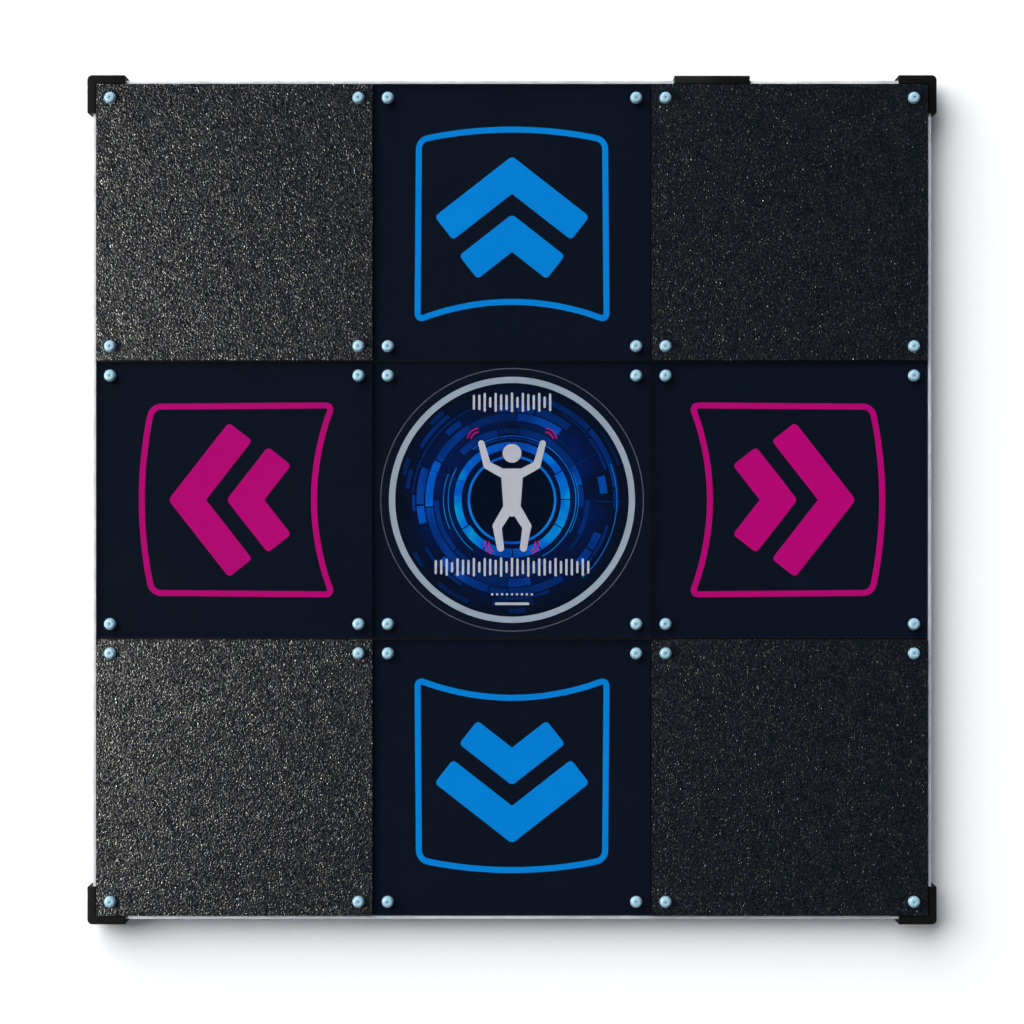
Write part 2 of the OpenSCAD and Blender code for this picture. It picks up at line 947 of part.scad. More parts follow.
arrow_graphic("right");  // arrow_graphic_right
contact_plate("up");  // contact_plate_up
contact_plate("down");  // contact_plate_down
contact_plate("left");  // contact_plate_left
contact_plate("right");  // contact_plate_right
contact_strips("up");  // contact_strips_up
contact_strips("down");  // contact_strips_down
contact_strips("left");  // contact_strips_left
contact_strips("right");  // contact_strips_right
foam_strips("up");  // foam_strips_up
foam_strips("down");  // foam_strips_down
foam_strips("left");  // foam_strips_left
foam_strips("right");  // foam_strips_right
panel_screws();
panel_washers();
threaded_inserts();
controller_housing();
controller_lid();
controller_circuit();
controller_chips();
data_socket();
controller_screws();
contact_leads();
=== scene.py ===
import json
import math
import random

import bmesh
import bpy
from mathutils import Matrix, Vector, noise

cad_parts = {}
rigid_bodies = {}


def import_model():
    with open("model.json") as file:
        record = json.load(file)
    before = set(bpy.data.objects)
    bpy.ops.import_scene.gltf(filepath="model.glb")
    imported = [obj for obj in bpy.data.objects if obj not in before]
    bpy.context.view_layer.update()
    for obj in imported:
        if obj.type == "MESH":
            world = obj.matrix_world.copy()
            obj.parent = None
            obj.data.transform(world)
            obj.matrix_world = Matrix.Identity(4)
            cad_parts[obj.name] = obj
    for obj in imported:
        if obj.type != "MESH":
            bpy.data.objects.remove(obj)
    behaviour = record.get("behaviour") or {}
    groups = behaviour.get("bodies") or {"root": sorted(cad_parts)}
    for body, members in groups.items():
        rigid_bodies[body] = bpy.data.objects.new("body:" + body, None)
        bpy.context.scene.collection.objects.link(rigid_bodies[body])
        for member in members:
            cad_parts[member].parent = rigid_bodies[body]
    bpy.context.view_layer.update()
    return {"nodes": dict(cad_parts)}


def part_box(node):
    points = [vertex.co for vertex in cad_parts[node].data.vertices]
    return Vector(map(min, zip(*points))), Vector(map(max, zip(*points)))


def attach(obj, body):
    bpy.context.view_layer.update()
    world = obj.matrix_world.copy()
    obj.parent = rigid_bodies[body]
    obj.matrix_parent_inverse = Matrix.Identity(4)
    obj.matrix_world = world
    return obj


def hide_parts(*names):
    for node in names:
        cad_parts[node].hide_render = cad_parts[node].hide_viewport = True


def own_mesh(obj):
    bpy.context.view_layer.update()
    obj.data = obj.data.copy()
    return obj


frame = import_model()

# Looks of the dance pad: nine square panels on a framed base board. Sizes are in metres.
MM = 0.001
SIDES = ("up", "down", "left", "right")
CORNERS = ("front_left", "front_right", "back_left", "back_right")

# the way each arrow points, as a turn from the back edge
ARROW_TURN = {"up": 0, "down": 180, "left": 90, "right": -90}

TOP_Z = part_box("centre_cover")[1].z

# the printed sheet: a film with layers of ink on it, up to just under the clear cover
FILM_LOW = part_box("centre_graphic")[0].z
FILM_TOP = FILM_LOW + 0.3 * MM
INK_STEP = 0.04 * MM
FIGURE_LAYER = 3

# how near two corners of a CAD node count as one, and how flat a fold counts as none
JOIN = 0.002 * MM
FLAT_FOLD = math.radians(0.4)
# the fold from which an edge is eased
SHARP_FOLD = math.radians(30)

# camera, straight above the pad
VIEW_WIDTH = 1.0322
CAMERA_HEIGHT = 2.4
CAMERA_Y = -0.0123


# ---------- camera ----------

def linked(name, data):
    """A new object in the scene for its data."""
    made = bpy.data.objects.new(name, data)
    bpy.context.collection.objects.link(made)
    return made


def overhead_camera():
    data = bpy.data.cameras.new("overhead")
    data.sensor_width = 36
    data.lens = data.sensor_width * CAMERA_HEIGHT / VIEW_WIDTH
    camera = linked("overhead", data)
    camera.location = (0, CAMERA_Y, TOP_Z + CAMERA_HEIGHT)
    bpy.context.scene.camera = camera


# ---------- wiring of materials ----------

def node(tree, kind, sockets=None, out=0, **settings):
    """Adds a node, sets or links its inputs, and returns one of its outputs."""
    made = tree.nodes.new("ShaderNode" + kind)
    for name, value in settings.items():
        setattr(made, name, value)
    for name, value in (sockets or {}).items():
        if isinstance(value, bpy.types.NodeSocket):
            tree.links.new(value, made.inputs[name])
        else:
            made.inputs[name].default_value = value
    return made.outputs[out]


def math_node(tree, operation, *values, clamp=False):
    return node(tree, "Math", dict(enumerate(values)), operation=operation, use_clamp=clamp)


def times(tree, first, second):
    return math_node(tree, "MULTIPLY", first, second)


def mixed(tree, factor, first, second):
    """Colours first and second, mixed by a mask."""
    return node(tree, "Mix", {0: factor, 6: first, 7: second}, out=2, data_type="RGBA")


def ranged(tree, value, low, high, to_low=0.0, to_high=1.0):
    sockets = {"Value": value, "From Min": low, "From Max": high, "To Min": to_low, "To Max": to_high}
    return node(tree, "MapRange", sockets)


def object_coords(tree, scale=(1, 1, 1), turn=(0, 0, 0)):
    coords = node(tree, "TexCoord", out="Object")
    return node(tree, "Mapping", {"Vector": coords, "Scale": scale, "Rotation": turn})


def noise_mask(tree, coords, scale, detail=3.0, roughness=0.5):
    sockets = {"Vector": coords, "Scale": scale, "Detail": detail, "Roughness": roughness}
    return node(tree, "TexNoise", sockets)


def looking_up(tree):
    """How far a face looks up: 1 on a level top, 0 on a wall, -1 on an underside."""
    return node(tree, "SeparateXYZ", {0: node(tree, "NewGeometry", out="Normal")}, out="Z")


def rgb(red, green, blue):
    """A display colour, 0 to 255, as the linear colour that shaders take."""
    def linear(value):
        value /= 255
        return value / 12.92 if value <= 0.04045 else ((value + 0.055) / 1.055) ** 2.4
    return (linear(red), linear(green), linear(blue), 1.0)


# ---------- shared effects ----------

def effect(name, inputs, outputs):
    """A node group for an effect: its tree, the values it takes and the values it gives."""
    tree = bpy.data.node_groups.new(name, "ShaderNodeTree")
    for label, (kind, value) in inputs.items():
        socket = tree.interface.new_socket(label, in_out="INPUT", socket_type="NodeSocket" + kind)
        socket.default_value = value
    for label, kind in outputs.items():
        tree.interface.new_socket(label, in_out="OUTPUT", socket_type="NodeSocket" + kind)
    taken = tree.nodes.new("NodeGroupInput").outputs
    given = tree.nodes.new("NodeGroupOutput").inputs
    return tree, taken, given


def worn_edges():
    """Mask of rubbed edges: the faces marked as edge, broken up by a noise."""
    tree, taken, given = effect("worn edges", {"Scale": ("Float", 300.0), "Amount": ("Float", 0.5)},
                                {"Mask": "Float"})
    edge = node(tree, "Attribute", out="Fac", attribute_name="edge")
    broken = noise_mask(tree, object_coords(tree), taken["Scale"], 4.0, 0.6)
    broken = ranged(tree, broken, 0.35, 0.65)
    mask = times(tree, times(tree, edge, broken), taken["Amount"])
    tree.links.new(mask, given["Mask"])
    return tree


def fine_scratches():
    """Mask of thin scratches that run two ways over a flat surface."""
    tree, taken, given = effect("fine scratches", {"Scale": ("Float", 1.0), "Amount": ("Float", 0.5)},
                                {"Mask": "Float"})
    total = None
    for turn in (0.5, -1.1):
        coords = object_coords(tree, scale=(900, 9, 30), turn=(0, 0, turn))
        lines = noise_mask(tree, coords, taken["Scale"], 2.0, 0.4)
        lines = ranged(tree, lines, 0.68, 0.76)
        total = lines if total is None else math_node(tree, "MAXIMUM", total, lines)
    patches = ranged(tree, noise_mask(tree, object_coords(tree), 14.0), 0.45, 0.65)
    mask = times(tree, times(tree, total, patches), taken["Amount"])
    tree.links.new(mask, given["Mask"])
    return tree


def settled_dust():
    """Mask of dust on faces that look up, in clouds and in single specks."""
    tree, taken, given = effect("settled dust", {"Amount": ("Float", 0.3)}, {"Mask": "Float"})
    up = ranged(tree, looking_up(tree), 0.5, 0.95)
    clouds = ranged(tree, noise_mask(tree, object_coords(tree), 18.0, 5.0, 0.6), 0.4, 0.8, 0.0, 0.35)
    specks = ranged(tree, noise_mask(tree, object_coords(tree), 700.0, 1.0), 0.72, 0.8)
    both = math_node(tree, "MAXIMUM", clouds, specks)
    mask = times(tree, times(tree, up, both), taken["Amount"])
    tree.links.new(mask, given["Mask"])
    return tree


def moulded_skin():
    """Height of the fine skin of a moulded part, and its mottle."""
    tree, taken, given = effect("moulded skin", {"Scale": ("Float", 1500.0)},
                                {"Height": "Float", "Mottle": "Float"})
    coords = object_coords(tree)
    fine = noise_mask(tree, coords, taken["Scale"], 3.0, 0.6)
    sockets = {"Vector": coords, "Scale": taken["Scale"]}
    pits = node(tree, "TexVoronoi", sockets, out="Distance", feature="SMOOTH_F1")
    tree.links.new(math_node(tree, "ADD", fine, pits), given["Height"])
    tree.links.new(noise_mask(tree, coords, 22.0, 5.0, 0.65), given["Mottle"])
    return tree


def wood_figure():
    """Wood that runs along X: figure of the growth rings, and pores as height."""
    tree, taken, given = effect("wood figure", {"Vector": ("Vector", (0, 0, 0)), "Scale": ("Float", 1.0)},
                                {"Figure": "Float", "Pores": "Float"})
    broad = node(tree, "Mapping", {"Vector": taken["Vector"], "Scale": (0.9, 5, 5)})
    contour = noise_mask(tree, broad, taken["Scale"], 1.2, 0.4)
    rings = math_node(tree, "SINE", times(tree, contour, 75.0))
    rings = ranged(tree, rings, -1.0, 1.0)
    long = node(tree, "Mapping", {"Vector": taken["Vector"], "Scale": (3, 130, 130)})
    fibres = noise_mask(tree, long, taken["Scale"], 4.0, 0.6)
    figure = math_node(tree, "ADD", times(tree, rings, 0.32),
                       times(tree, fibres, 0.68))
    thin = node(tree, "Mapping", {"Vector": taken["Vector"], "Scale": (14, 900, 900)})
    pores = ranged(tree, noise_mask(tree, thin, taken["Scale"], 2.0), 0.4, 0.7)
    tree.links.new(figure, given["Figure"])
    tree.links.new(pores, given["Pores"])
    return tree


def ply_layers():
    """Mask of the layers that show on the cut edge of plywood, none on its faces."""
    tree, taken, given = effect("ply layers", {"Layer": ("Float", 0.0016), "Base": ("Float", 0.0)},
                                {"Mask": "Float"})
    height = node(tree, "SeparateXYZ", {0: object_coords(tree)}, out="Z")
    height = math_node(tree, "SUBTRACT", height, taken["Base"])
    count = math_node(tree, "DIVIDE", height, taken["Layer"])
    odd = math_node(tree, "GREATER_THAN", math_node(tree, "MODULO", count, 2.0), 1.0)
    side = math_node(tree, "LESS_THAN", math_node(tree, "ABSOLUTE", looking_up(tree)), 0.6)
    tree.links.new(times(tree, odd, side), given["Mask"])
    return tree


def brushed_lines():
    """Fine lines of brushed or drawn metal that run along X of the vector given."""
    tree, taken, given = effect("brushed lines", {"Vector": ("Vector", (0, 0, 0))},
                                {"Lines": "Float", "Cloud": "Float"})
    thin = node(tree, "Mapping", {"Vector": taken["Vector"], "Scale": (6, 2600, 2600)})
    wide = node(tree, "Mapping", {"Vector": taken["Vector"], "Scale": (3, 420, 420)})
    lines = math_node(tree, "ADD", times(tree, noise_mask(tree, thin, 1.0, 2.0), 0.6),
                      times(tree, noise_mask(tree, wide, 1.0, 3.0), 0.4))
    tree.links.new(lines, given["Lines"])
    tree.links.new(noise_mask(tree, taken["Vector"], 9.0, 4.0, 0.6), given["Cloud"])
    return tree


def painted_top_light():
    """Mask of the faces that look up, broken up by a noise, for painting the tops lighter than the walls:
    painted light.
    """
    tree, taken, given = effect("painted top light", {"Amount": ("Float", 1.0)}, {"Mask": "Float"})
    broken = ranged(tree, noise_mask(tree, object_coords(tree), 60.0, 4.0, 0.6), 0.3, 0.6, 0.7, 1.0)
    mask = times(tree, ranged(tree, looking_up(tree), 0.4, 0.9), broken)
    tree.links.new(times(tree, mask, taken["Amount"]), given["Mask"])
    return tree


EFFECTS = {make.__name__: make() for make in (
    worn_edges, fine_scratches, settled_dust, moulded_skin, wood_figure, ply_layers, brushed_lines,
    painted_top_light)}


def placed(tree, name, out, **sockets):
    """One use of a shared effect in a material."""
    made = tree.nodes.new("ShaderNodeGroup")
    made.node_tree = EFFECTS[name]
    for label, value in sockets.items():
        if isinstance(value, bpy.types.NodeSocket):
            tree.links.new(value, made.inputs[label])
        else:
            made.inputs[label].default_value = value
    return made.outputs[out]


# ---------- materials ----------

def finish(name, **fixed):
    """A new material with its shader's plain values set: the material, its tree and its shader."""
    material = bpy.data.materials.new(name)
    material.use_nodes = True
    shader = material.node_tree.nodes["Principled BSDF"]
    for label, value in fixed.items():
        shader.inputs[label.replace("_", " ")].default_value = value
    return material, material.node_tree, shader


def drive(tree, shader, **sockets):
    """Links colours, masks and normals to the shader."""
    for label, value in sockets.items():
        tree.links.new(value, shader.inputs[label.replace("_", " ")])


def bumped(tree, height, depth, strength=1.0):
    return node(tree, "Bump", {"Height": height, "Distance": depth, "Strength": strength})


def wood(name, light, dark, grain_turn, rough=0.6, layer=None, base=0.0):
    """Sanded wood; with a layer, plywood whose plies show on its edges."""
    material, tree, shader = finish(name)
    coords = object_coords(tree, turn=(0, 0, math.radians(grain_turn)))
    figure = placed(tree, "wood_figure", "Figure", Vector=coords, Scale=1.0)
    pores = placed(tree, "wood_figure", "Pores", Vector=coords, Scale=1.0)
    colour = mixed(tree, ranged(tree, figure, 0.3, 0.7), light, dark)
    colour = mixed(tree, times(tree, pores, 0.35), colour, dark)
    if layer:
        ply = placed(tree, "ply_layers", "Mask", Layer=layer, Base=base)
        colour = mixed(tree, times(tree, ply, 0.6), colour, dark)
    patches = noise_mask(tree, object_coords(tree), 6.0, 4.0)
    colour = mixed(tree, ranged(tree, patches, 0.45, 0.75, 0.0, 0.25), colour, dark)
    drive(tree, shader, Base_Color=colour, Normal=bumped(tree, pores, 0.15 * MM, 0.5),
          Roughness=ranged(tree, figure, 0.2, 0.8, rough - 0.1, rough + 0.15))
    return material


def moulded_plastic(name, colour, pale, rough, skin_scale=1500.0, skin_depth=0.04, dust=0.2, gloss=0.3):
    """Moulded part with a fine skin, pale rubbed edges and a little dust."""
    material, tree, shader = finish(name, Specular_IOR_Level=gloss)
    height = placed(tree, "moulded_skin", "Height", Scale=skin_scale)
    mottle = placed(tree, "moulded_skin", "Mottle", Scale=skin_scale)
    wear = placed(tree, "worn_edges", "Mask", Scale=260.0, Amount=0.7)
    scuffs = placed(tree, "fine_scratches", "Mask", Scale=1.0, Amount=0.5)
    body = mixed(tree, ranged(tree, mottle, 0.3, 0.7, 0.0, 0.6), colour, pale)
    rubbed = tuple(4 * part for part in pale[:3]) + (1,)
    body = mixed(tree, math_node(tree, "MAXIMUM", wear, scuffs), body, rubbed)
    body = mixed(tree, placed(tree, "settled_dust", "Mask", Amount=dust), body, rgb(120, 116, 108))
    drive(tree, shader, Base_Color=body, Normal=bumped(tree, height, skin_depth * MM, 0.7),
          Roughness=ranged(tree, mottle, 0.25, 0.75, rough - 0.08, rough + 0.12))
    return material


def brushed_metal(name, colour, dark, turn, metallic, rough, line_depth=0.01, turn_axis=2, top_light_amount=0.0):
    """Metal with fine lines along one direction, brighter on its rubbed edges, with its upward faces painted
    lighter and less metallic than its walls as painted light.
    """
    material, tree, shader = finish(name, Metallic=metallic)
    angles = [0.0, 0.0, 0.0]
    angles[turn_axis] = math.radians(turn)
    coords = object_coords(tree, turn=angles)
    lines = placed(tree, "brushed_lines", "Lines", Vector=coords)
    cloud = placed(tree, "brushed_lines", "Cloud", Vector=coords)
    body = mixed(tree, ranged(tree, lines, 0.3, 0.7), dark, colour)
    body = mixed(tree, ranged(tree, cloud, 0.5, 0.8, 0.0, 0.4), body, dark)
    wear = placed(tree, "worn_edges", "Mask", Scale=180.0, Amount=0.5)
    # painted light: the upward faces are painted pale and made less metallic, so the tops read lighter than
    # the walls
    if top_light_amount:
        top_light_mask = placed(tree, "painted_top_light", "Mask", Amount=top_light_amount)
        body = mixed(tree, top_light_mask, body, (0.88, 0.91, 0.95, 1))
        drive(tree, shader, Metallic=ranged(tree, top_light_mask, 0.0, 1.0, metallic, 0.4 * metallic))
    body = mixed(tree, wear, body, (0.9, 0.9, 0.9, 1))
    drive(tree, shader, Base_Color=body, Normal=bumped(tree, lines, line_depth * MM, 0.6),
          Roughness=ranged(tree, lines, 0.3, 0.7, rough + 0.1, rough - 0.06))
    return material


def zinc_plate(name, light, deep, metallic, rough):
    """Zinc-plated steel: a pale plating with crystals, bluer and duller in patches."""
    material, tree, shader = finish(name, Metallic=metallic)
    coords = object_coords(tree)
    crystals = node(tree, "TexVoronoi", {"Vector": coords, "Scale": 900.0}, out="Color")
    crystals = node(tree, "SeparateColor", {0: crystals}, out="Red")
    patches = noise_mask(tree, coords, 140.0, 4.0, 0.6)
    body = mixed(tree, ranged(tree, patches, 0.35, 0.7), light, deep)
    body = mixed(tree, times(tree, crystals, 0.18), body, deep)
    wear = placed(tree, "worn_edges", "Mask", Scale=900.0, Amount=0.5)
    body = mixed(tree, wear, body, (0.8, 0.84, 0.86, 1))
    drive(tree, shader, Base_Color=body, Normal=bumped(tree, crystals, 0.004 * MM, 0.35),
          Roughness=ranged(tree, patches, 0.3, 0.7, rough - 0.08, rough + 0.14))
    return material


def grit_finish():
    """Anti-slip sheet: black mineral grit with gloss on its facets, and paler grains in patches."""
    material, tree, shader = finish("grip grit", Specular_IOR_Level=0.45)
    coords = object_coords(tree)
    cells = node(tree, "TexVoronoi", {"Vector": coords, "Scale": 820.0}, out="Color")
    lot = node(tree, "SeparateColor", {0: cells}, out="Red")
    shine = node(tree, "SeparateColor", {0: cells}, out="Green")
    hue = node(tree, "SeparateColor", {0: cells}, out="Blue")
    cloud = ranged(tree, noise_mask(tree, coords, 60.0, 3.0, 0.6), 0.35, 0.65, 0.97, 0.78)
    bright = math_node(tree, "GREATER_THAN", lot, cloud)
    body = mixed(tree, shine, rgb(1, 6, 14), rgb(7, 12, 23))
    grain = mixed(tree, hue, rgb(88, 84, 66), rgb(70, 83, 86))
    body = mixed(tree, bright, body, grain)
    distance = node(tree, "TexVoronoi", {"Vector": coords, "Scale": 1500.0}, out="Distance")
    drive(tree, shader, Base_Color=body, Metallic=times(tree, bright, 0.95),
          Roughness=ranged(tree, shine, 0.0, 1.0, 0.2, 0.52), Normal=bumped(tree, distance, 0.12 * MM, 0.5))
    return material


def clear_sheet():
    """Clear polycarbonate: nearly unseen from above, grey at its edges, with scratches and dust."""
    material, tree, shader = finish("clear polycarbonate", Roughness=0.09, IOR=1.5)
    scuffs = placed(tree, "fine_scratches", "Mask", Scale=1.0, Amount=0.12)
    dust = placed(tree, "settled_dust", "Mask", Amount=0.05)
    marks = math_node(tree, "MAXIMUM", scuffs, dust)
    side = ranged(tree, math_node(tree, "ABSOLUTE", looking_up(tree)), 0.95, 0.3, 0.0, 0.55)
    facing = node(tree, "LayerWeight", {"Blend": 0.5}, out="Facing")
    gloss = ranged(tree, math_node(tree, "POWER", facing, 4.0), 0.0, 1.0, 0.0, 0.8)
    alpha = math_node(tree, "ADD", math_node(tree, "MAXIMUM", side, gloss), 0.035, clamp=True)
    alpha = math_node(tree, "ADD", alpha, times(tree, marks, 0.2), clamp=True)
    body = mixed(tree, marks, rgb(36, 48, 64), rgb(150, 155, 160))
    smears = ranged(tree, noise_mask(tree, object_coords(tree), 11.0, 5.0, 0.6), 0.4, 0.7, 0.07, 0.16)
    drive(tree, shader, Base_Color=body, Alpha=alpha, Roughness=smears)
    return material


def printed(name, light, deep, rough, scale, gloss=0.04):
    """Ink on the film: close to even, with the slight unevenness of a screen print."""
    material, tree, shader = finish(name, Specular_IOR_Level=gloss)
    coords = object_coords(tree)
    cloud = noise_mask(tree, coords, scale, 4.0, 0.55)
    speck = noise_mask(tree, coords, 2400.0, 1.0)
    body = mixed(tree, ranged(tree, cloud, 0.3, 0.7), light, deep)
    body = mixed(tree, ranged(tree, speck, 0.55, 0.8, 0.0, 0.25), body, deep)
    drive(tree, shader, Base_Color=body, Roughness=ranged(tree, cloud, 0.2, 0.8, rough, rough + 0.12),
          Normal=bumped(tree, speck, 0.002 * MM, 0.3))
    return material


def glow_print():
    """The centre's backdrop: blue light in a wide ring that fades to near black in and out."""
    material, tree, shader = finish("blue glow print", Specular_IOR_Level=0.04)
    coords = object_coords(tree)
    flat = node(tree, "Mapping", {"Vector": coords, "Scale": (1, 1, 0)})
    radius = node(tree, "VectorMath", {0: flat}, out="Value", operation="LENGTH")
    ramp = tree.nodes.new("ShaderNodeValToRGB")
    stops = ((0.0, rgb(3, 9, 22)), (0.33, rgb(1, 9, 28)), (0.5, rgb(0, 22, 74)), (0.68, rgb(0, 24, 84)),
             (0.86, rgb(1, 14, 46)), (1.0, rgb(4, 11, 26)))
    ramp.color_ramp.elements.remove(ramp.color_ramp.elements[1])
    ramp.color_ramp.elements[0].color = stops[0][1]
    for place, colour in stops[1:]:
        ramp.color_ramp.elements.new(place).color = colour
    tree.links.new(math_node(tree, "DIVIDE", radius, GLOW_R), ramp.inputs[0])
    cloud = noise_mask(tree, coords, 22.0, 4.0, 0.6)
    body = mixed(tree, ranged(tree, cloud, 0.4, 0.7, 0.0, 0.85), ramp.outputs[0], rgb(2, 8, 24))
    drive(tree, shader, Base_Color=body, Roughness=ranged(tree, cloud, 0.2, 0.8, 0.2, 0.32))
    return material


def arc_ink(name, dim, deep, bright, glint):
    """Ink of the broken rings: each piece has its own light, most at both sides, where it nears cyan."""
    material, tree, shader = finish(name, Specular_IOR_Level=0.04)
    coords = object_coords(tree)
    axes = node(tree, "Mapping", {"Vector": coords, "Scale": (1, 1, 0)})
    way = node(tree, "VectorMath", {0: axes}, out="Vector", operation="NORMALIZE")
    side = math_node(tree, "ABSOLUTE", node(tree, "SeparateXYZ", {0: way}, out="X"))
    patches = noise_mask(tree, coords, 26.0, 3.0, 0.5)
    light = node(tree, "Attribute", out="Fac", attribute_name="light")
    level = times(tree, light, ranged(tree, side, 0.2, 0.95, 0.5, 1.0))
    level = times(tree, level, ranged(tree, patches, 0.36, 0.6, 0.7, 1.0))
    body = mixed(tree, ranged(tree, level, 0.05, 0.4), dim, deep)
    body = mixed(tree, ranged(tree, level, 0.35, 0.72), body, bright)
    body = mixed(tree, ranged(tree, level, 0.7, 0.95), body, glint)
    drive(tree, shader, Base_Color=body, Roughness=ranged(tree, patches, 0.2, 0.8, 0.2, 0.32))
    return material


def mottled(name, light, dark, cloud, grain, rough, depth, strength, gloss, rubbed=None):
    """Even stuff with a cloudy tone and a fine grain: cloud and grain are the noise settings of each."""
    material, tree, shader = finish(name, Specular_IOR_Level=gloss)
    coords = object_coords(tree)
    cloudy = noise_mask(tree, coords, *cloud)
    fine = noise_mask(tree, coords, *grain)
    body = mixed(tree, ranged(tree, cloudy, 0.35, 0.7), light, dark)
    if rubbed:
        body = mixed(tree, placed(tree, "worn_edges", "Mask", Scale=300.0, Amount=0.6), body, rubbed)
    drive(tree, shader, Base_Color=body, Roughness=ranged(tree, cloudy, 0.3, 0.7, *rough),
          Normal=bumped(tree, fine, depth * MM, strength))
    return material


def cell_foam():
    """Open-cell foam: pores of two sizes in a dark grey skin, with the pores painted darker as painted shade.
    """
    material, tree, shader = finish("open-cell foam", Sheen_Weight=0.15, Sheen_Roughness=0.6)
    coords = object_coords(tree)
    pores = node(tree, "TexVoronoi", {"Vector": coords, "Scale": 1100.0}, out="Distance")
    large = node(tree, "TexVoronoi", {"Vector": coords, "Scale": 420.0}, out="Distance")
    deep = times(tree, ranged(tree, pores, 0.05, 0.5), ranged(tree, large, 0.1, 0.45))
    # painted shade: the pore centres, the low spots of the bump, are coloured near black
    body = mixed(tree, deep, rgb(26, 27, 30), rgb(84, 87, 92))
    cloud = noise_mask(tree, coords, 30.0, 3.0)
    body = mixed(tree, ranged(tree, cloud, 0.4, 0.8, 0.0, 0.4), body, rgb(60, 60, 62))
    drive(tree, shader, Base_Color=body, Roughness=ranged(tree, pores, 0.0, 0.6, 0.98, 0.86),
          Normal=bumped(tree, deep, 0.3 * MM, 0.8))
    return material


def circuit_finish():
    """Circuit board: green lacquer over a maze of tracks, with bare pads."""
    material, tree, shader = finish("circuit lacquer", Coat_Weight=0.4, Coat_Roughness=0.1)
    coords = object_coords(tree)
    tracks = node(tree, "TexBrick", {"Vector": coords, "Scale": 170.0, "Mortar Size": 0.06}, out="Fac")
    pads = node(tree, "TexVoronoi", {"Vector": coords, "Scale": 300.0}, out="Distance")
    pads = math_node(tree, "LESS_THAN", pads, 0.16)
    body = mixed(tree, tracks, rgb(10, 74, 38), rgb(24, 112, 58))
    body = mixed(tree, pads, body, rgb(190, 160, 96))
    drive(tree, shader, Base_Color=body, Metallic=times(tree, pads, 0.9),
          Roughness=ranged(tree, tracks, 0.0, 1.0, 0.35, 0.25), Normal=bumped(tree, tracks, 0.03 * MM, 0.5))
    return material


def studio_floor():
    material, tree, shader = finish("studio floor", Roughness=0.9, Specular_IOR_Level=0.1)
    cloud = noise_mask(tree, object_coords(tree), 1.5, 2.0)
    drive(tree, shader, Base_Color=mixed(tree, cloud, (0.93, 0.93, 0.93, 1), (0.95, 0.95, 0.95, 1)))
    return material


# ---------- shapes ----------

def meshed(name, bm):
    """A bmesh's shape as a mesh; the bmesh is used up."""
    mesh = bpy.data.meshes.new(name)
    bm.to_mesh(mesh)
    bm.free()
    return mesh


def shaped(name, bm):
    """A new object in the scene with a bmesh's shape."""
    return linked(name, meshed(name, bm))


def take_in(whole, part):
    """Adds a part to the whole; the part is used up."""
    mesh = meshed("part", part)
    whole.from_mesh(mesh)
    bpy.data.meshes.remove(mesh)


def piece(name, bm, material, body="root", replaces=(), smooth=None):
    """Makes a finished piece of a bmesh: smooth is the angle in degrees past which an edge stays sharp."""
    made = shaped(name, bm)
    made.data.materials.append(material)
    if smooth is not None:
        made.data.shade_smooth()
        made.data.set_sharp_from_angle(angle=math.radians(smooth))
    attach(made, body)
    if replaces:
        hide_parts(*replaces)
    return made


def joined(name):
    """A CAD node's shape with its loose triangles joined."""
    bm = bmesh.new()
    bm.from_mesh(frame["nodes"][name].data)
    bmesh.ops.remove_doubles(bm, verts=bm.verts, dist=JOIN)
    return bm


def merged(name):
    """A CAD node's shape as one clean mesh: corners joined and flat faces whole."""
    bm = joined(name)
    bmesh.ops.dissolve_limit(bm, angle_limit=FLAT_FOLD, verts=bm.verts, edges=bm.edges)
    return bm


def solids(name):
    """Lowest and highest corner of each separate solid in a CAD node."""
    bm = joined(name)
    left = set(bm.verts)
    found = []
    while left:
        front = [left.pop()]
        points = []
        while front:
            vert = front.pop()
            points.append(vert.co.copy())
            near = {edge.other_vert(vert) for edge in vert.link_edges} & left
            left -= near
            front.extend(near)
        low = Vector(min(p[i] for p in points) for i in range(3))
        high = Vector(max(p[i] for p in points) for i in range(3))
        found.append((low, high))
    bm.free()
    return sorted(found, key=lambda pair: tuple(round(v, 5) for v in pair[0]))


def ease(bm, radius, segments=2, above=-1.0):
    """Rounds the sharp edges that lie above a height, and marks the rounded faces as edge."""
    mark = bm.faces.layers.float.get("edge") or bm.faces.layers.float.new("edge")
    sharp = [edge for edge in bm.edges
             if edge.is_manifold and edge.calc_face_angle(0) > SHARP_FOLD
             and min(v.co.z for v in edge.verts) > above]
    made = bmesh.ops.bevel(bm, geom=sharp, offset=radius, segments=segments, profile=0.5,
                           affect="EDGES", material=-1, clamp_overlap=True)
    for face in made["faces"]:
        face[mark] = 1.0


def block(bm, low, high):
    """A box between two corners; returns its vertices."""
    made = bmesh.ops.create_cube(bm, size=1.0)["verts"]
    low, high = Vector(low), Vector(high)
    bmesh.ops.scale(bm, vec=high - low, verts=made)
    bmesh.ops.translate(bm, vec=(low + high) / 2, verts=made)
    return made


def lathe(bm, profile, steps=32, closed=False):
    """Turns a profile of (radius, height) points round Z."""
    verts = [bm.verts.new((radius, 0, height)) for radius, height in profile]
    ends = verts[1:] + verts[:1] if closed else verts[1:]
    edges = [bm.edges.new(pair) for pair in zip(verts, ends)]
    bmesh.ops.spin(bm, geom=verts + edges, cent=(0, 0, 0), axis=(0, 0, 1), dvec=(0, 0, 0),
                   angle=2 * math.pi, steps=steps, use_merge=True, use_duplicate=False)
    bmesh.ops.remove_doubles(bm, verts=bm.verts, dist=0.0005 * MM)


def flat_face(bm, corners):
    """A flat face on height 0, on corners given in millimetres, in order."""
    return bm.faces.new([bm.verts.new((x * MM, y * MM, 0)) for x, y in corners])


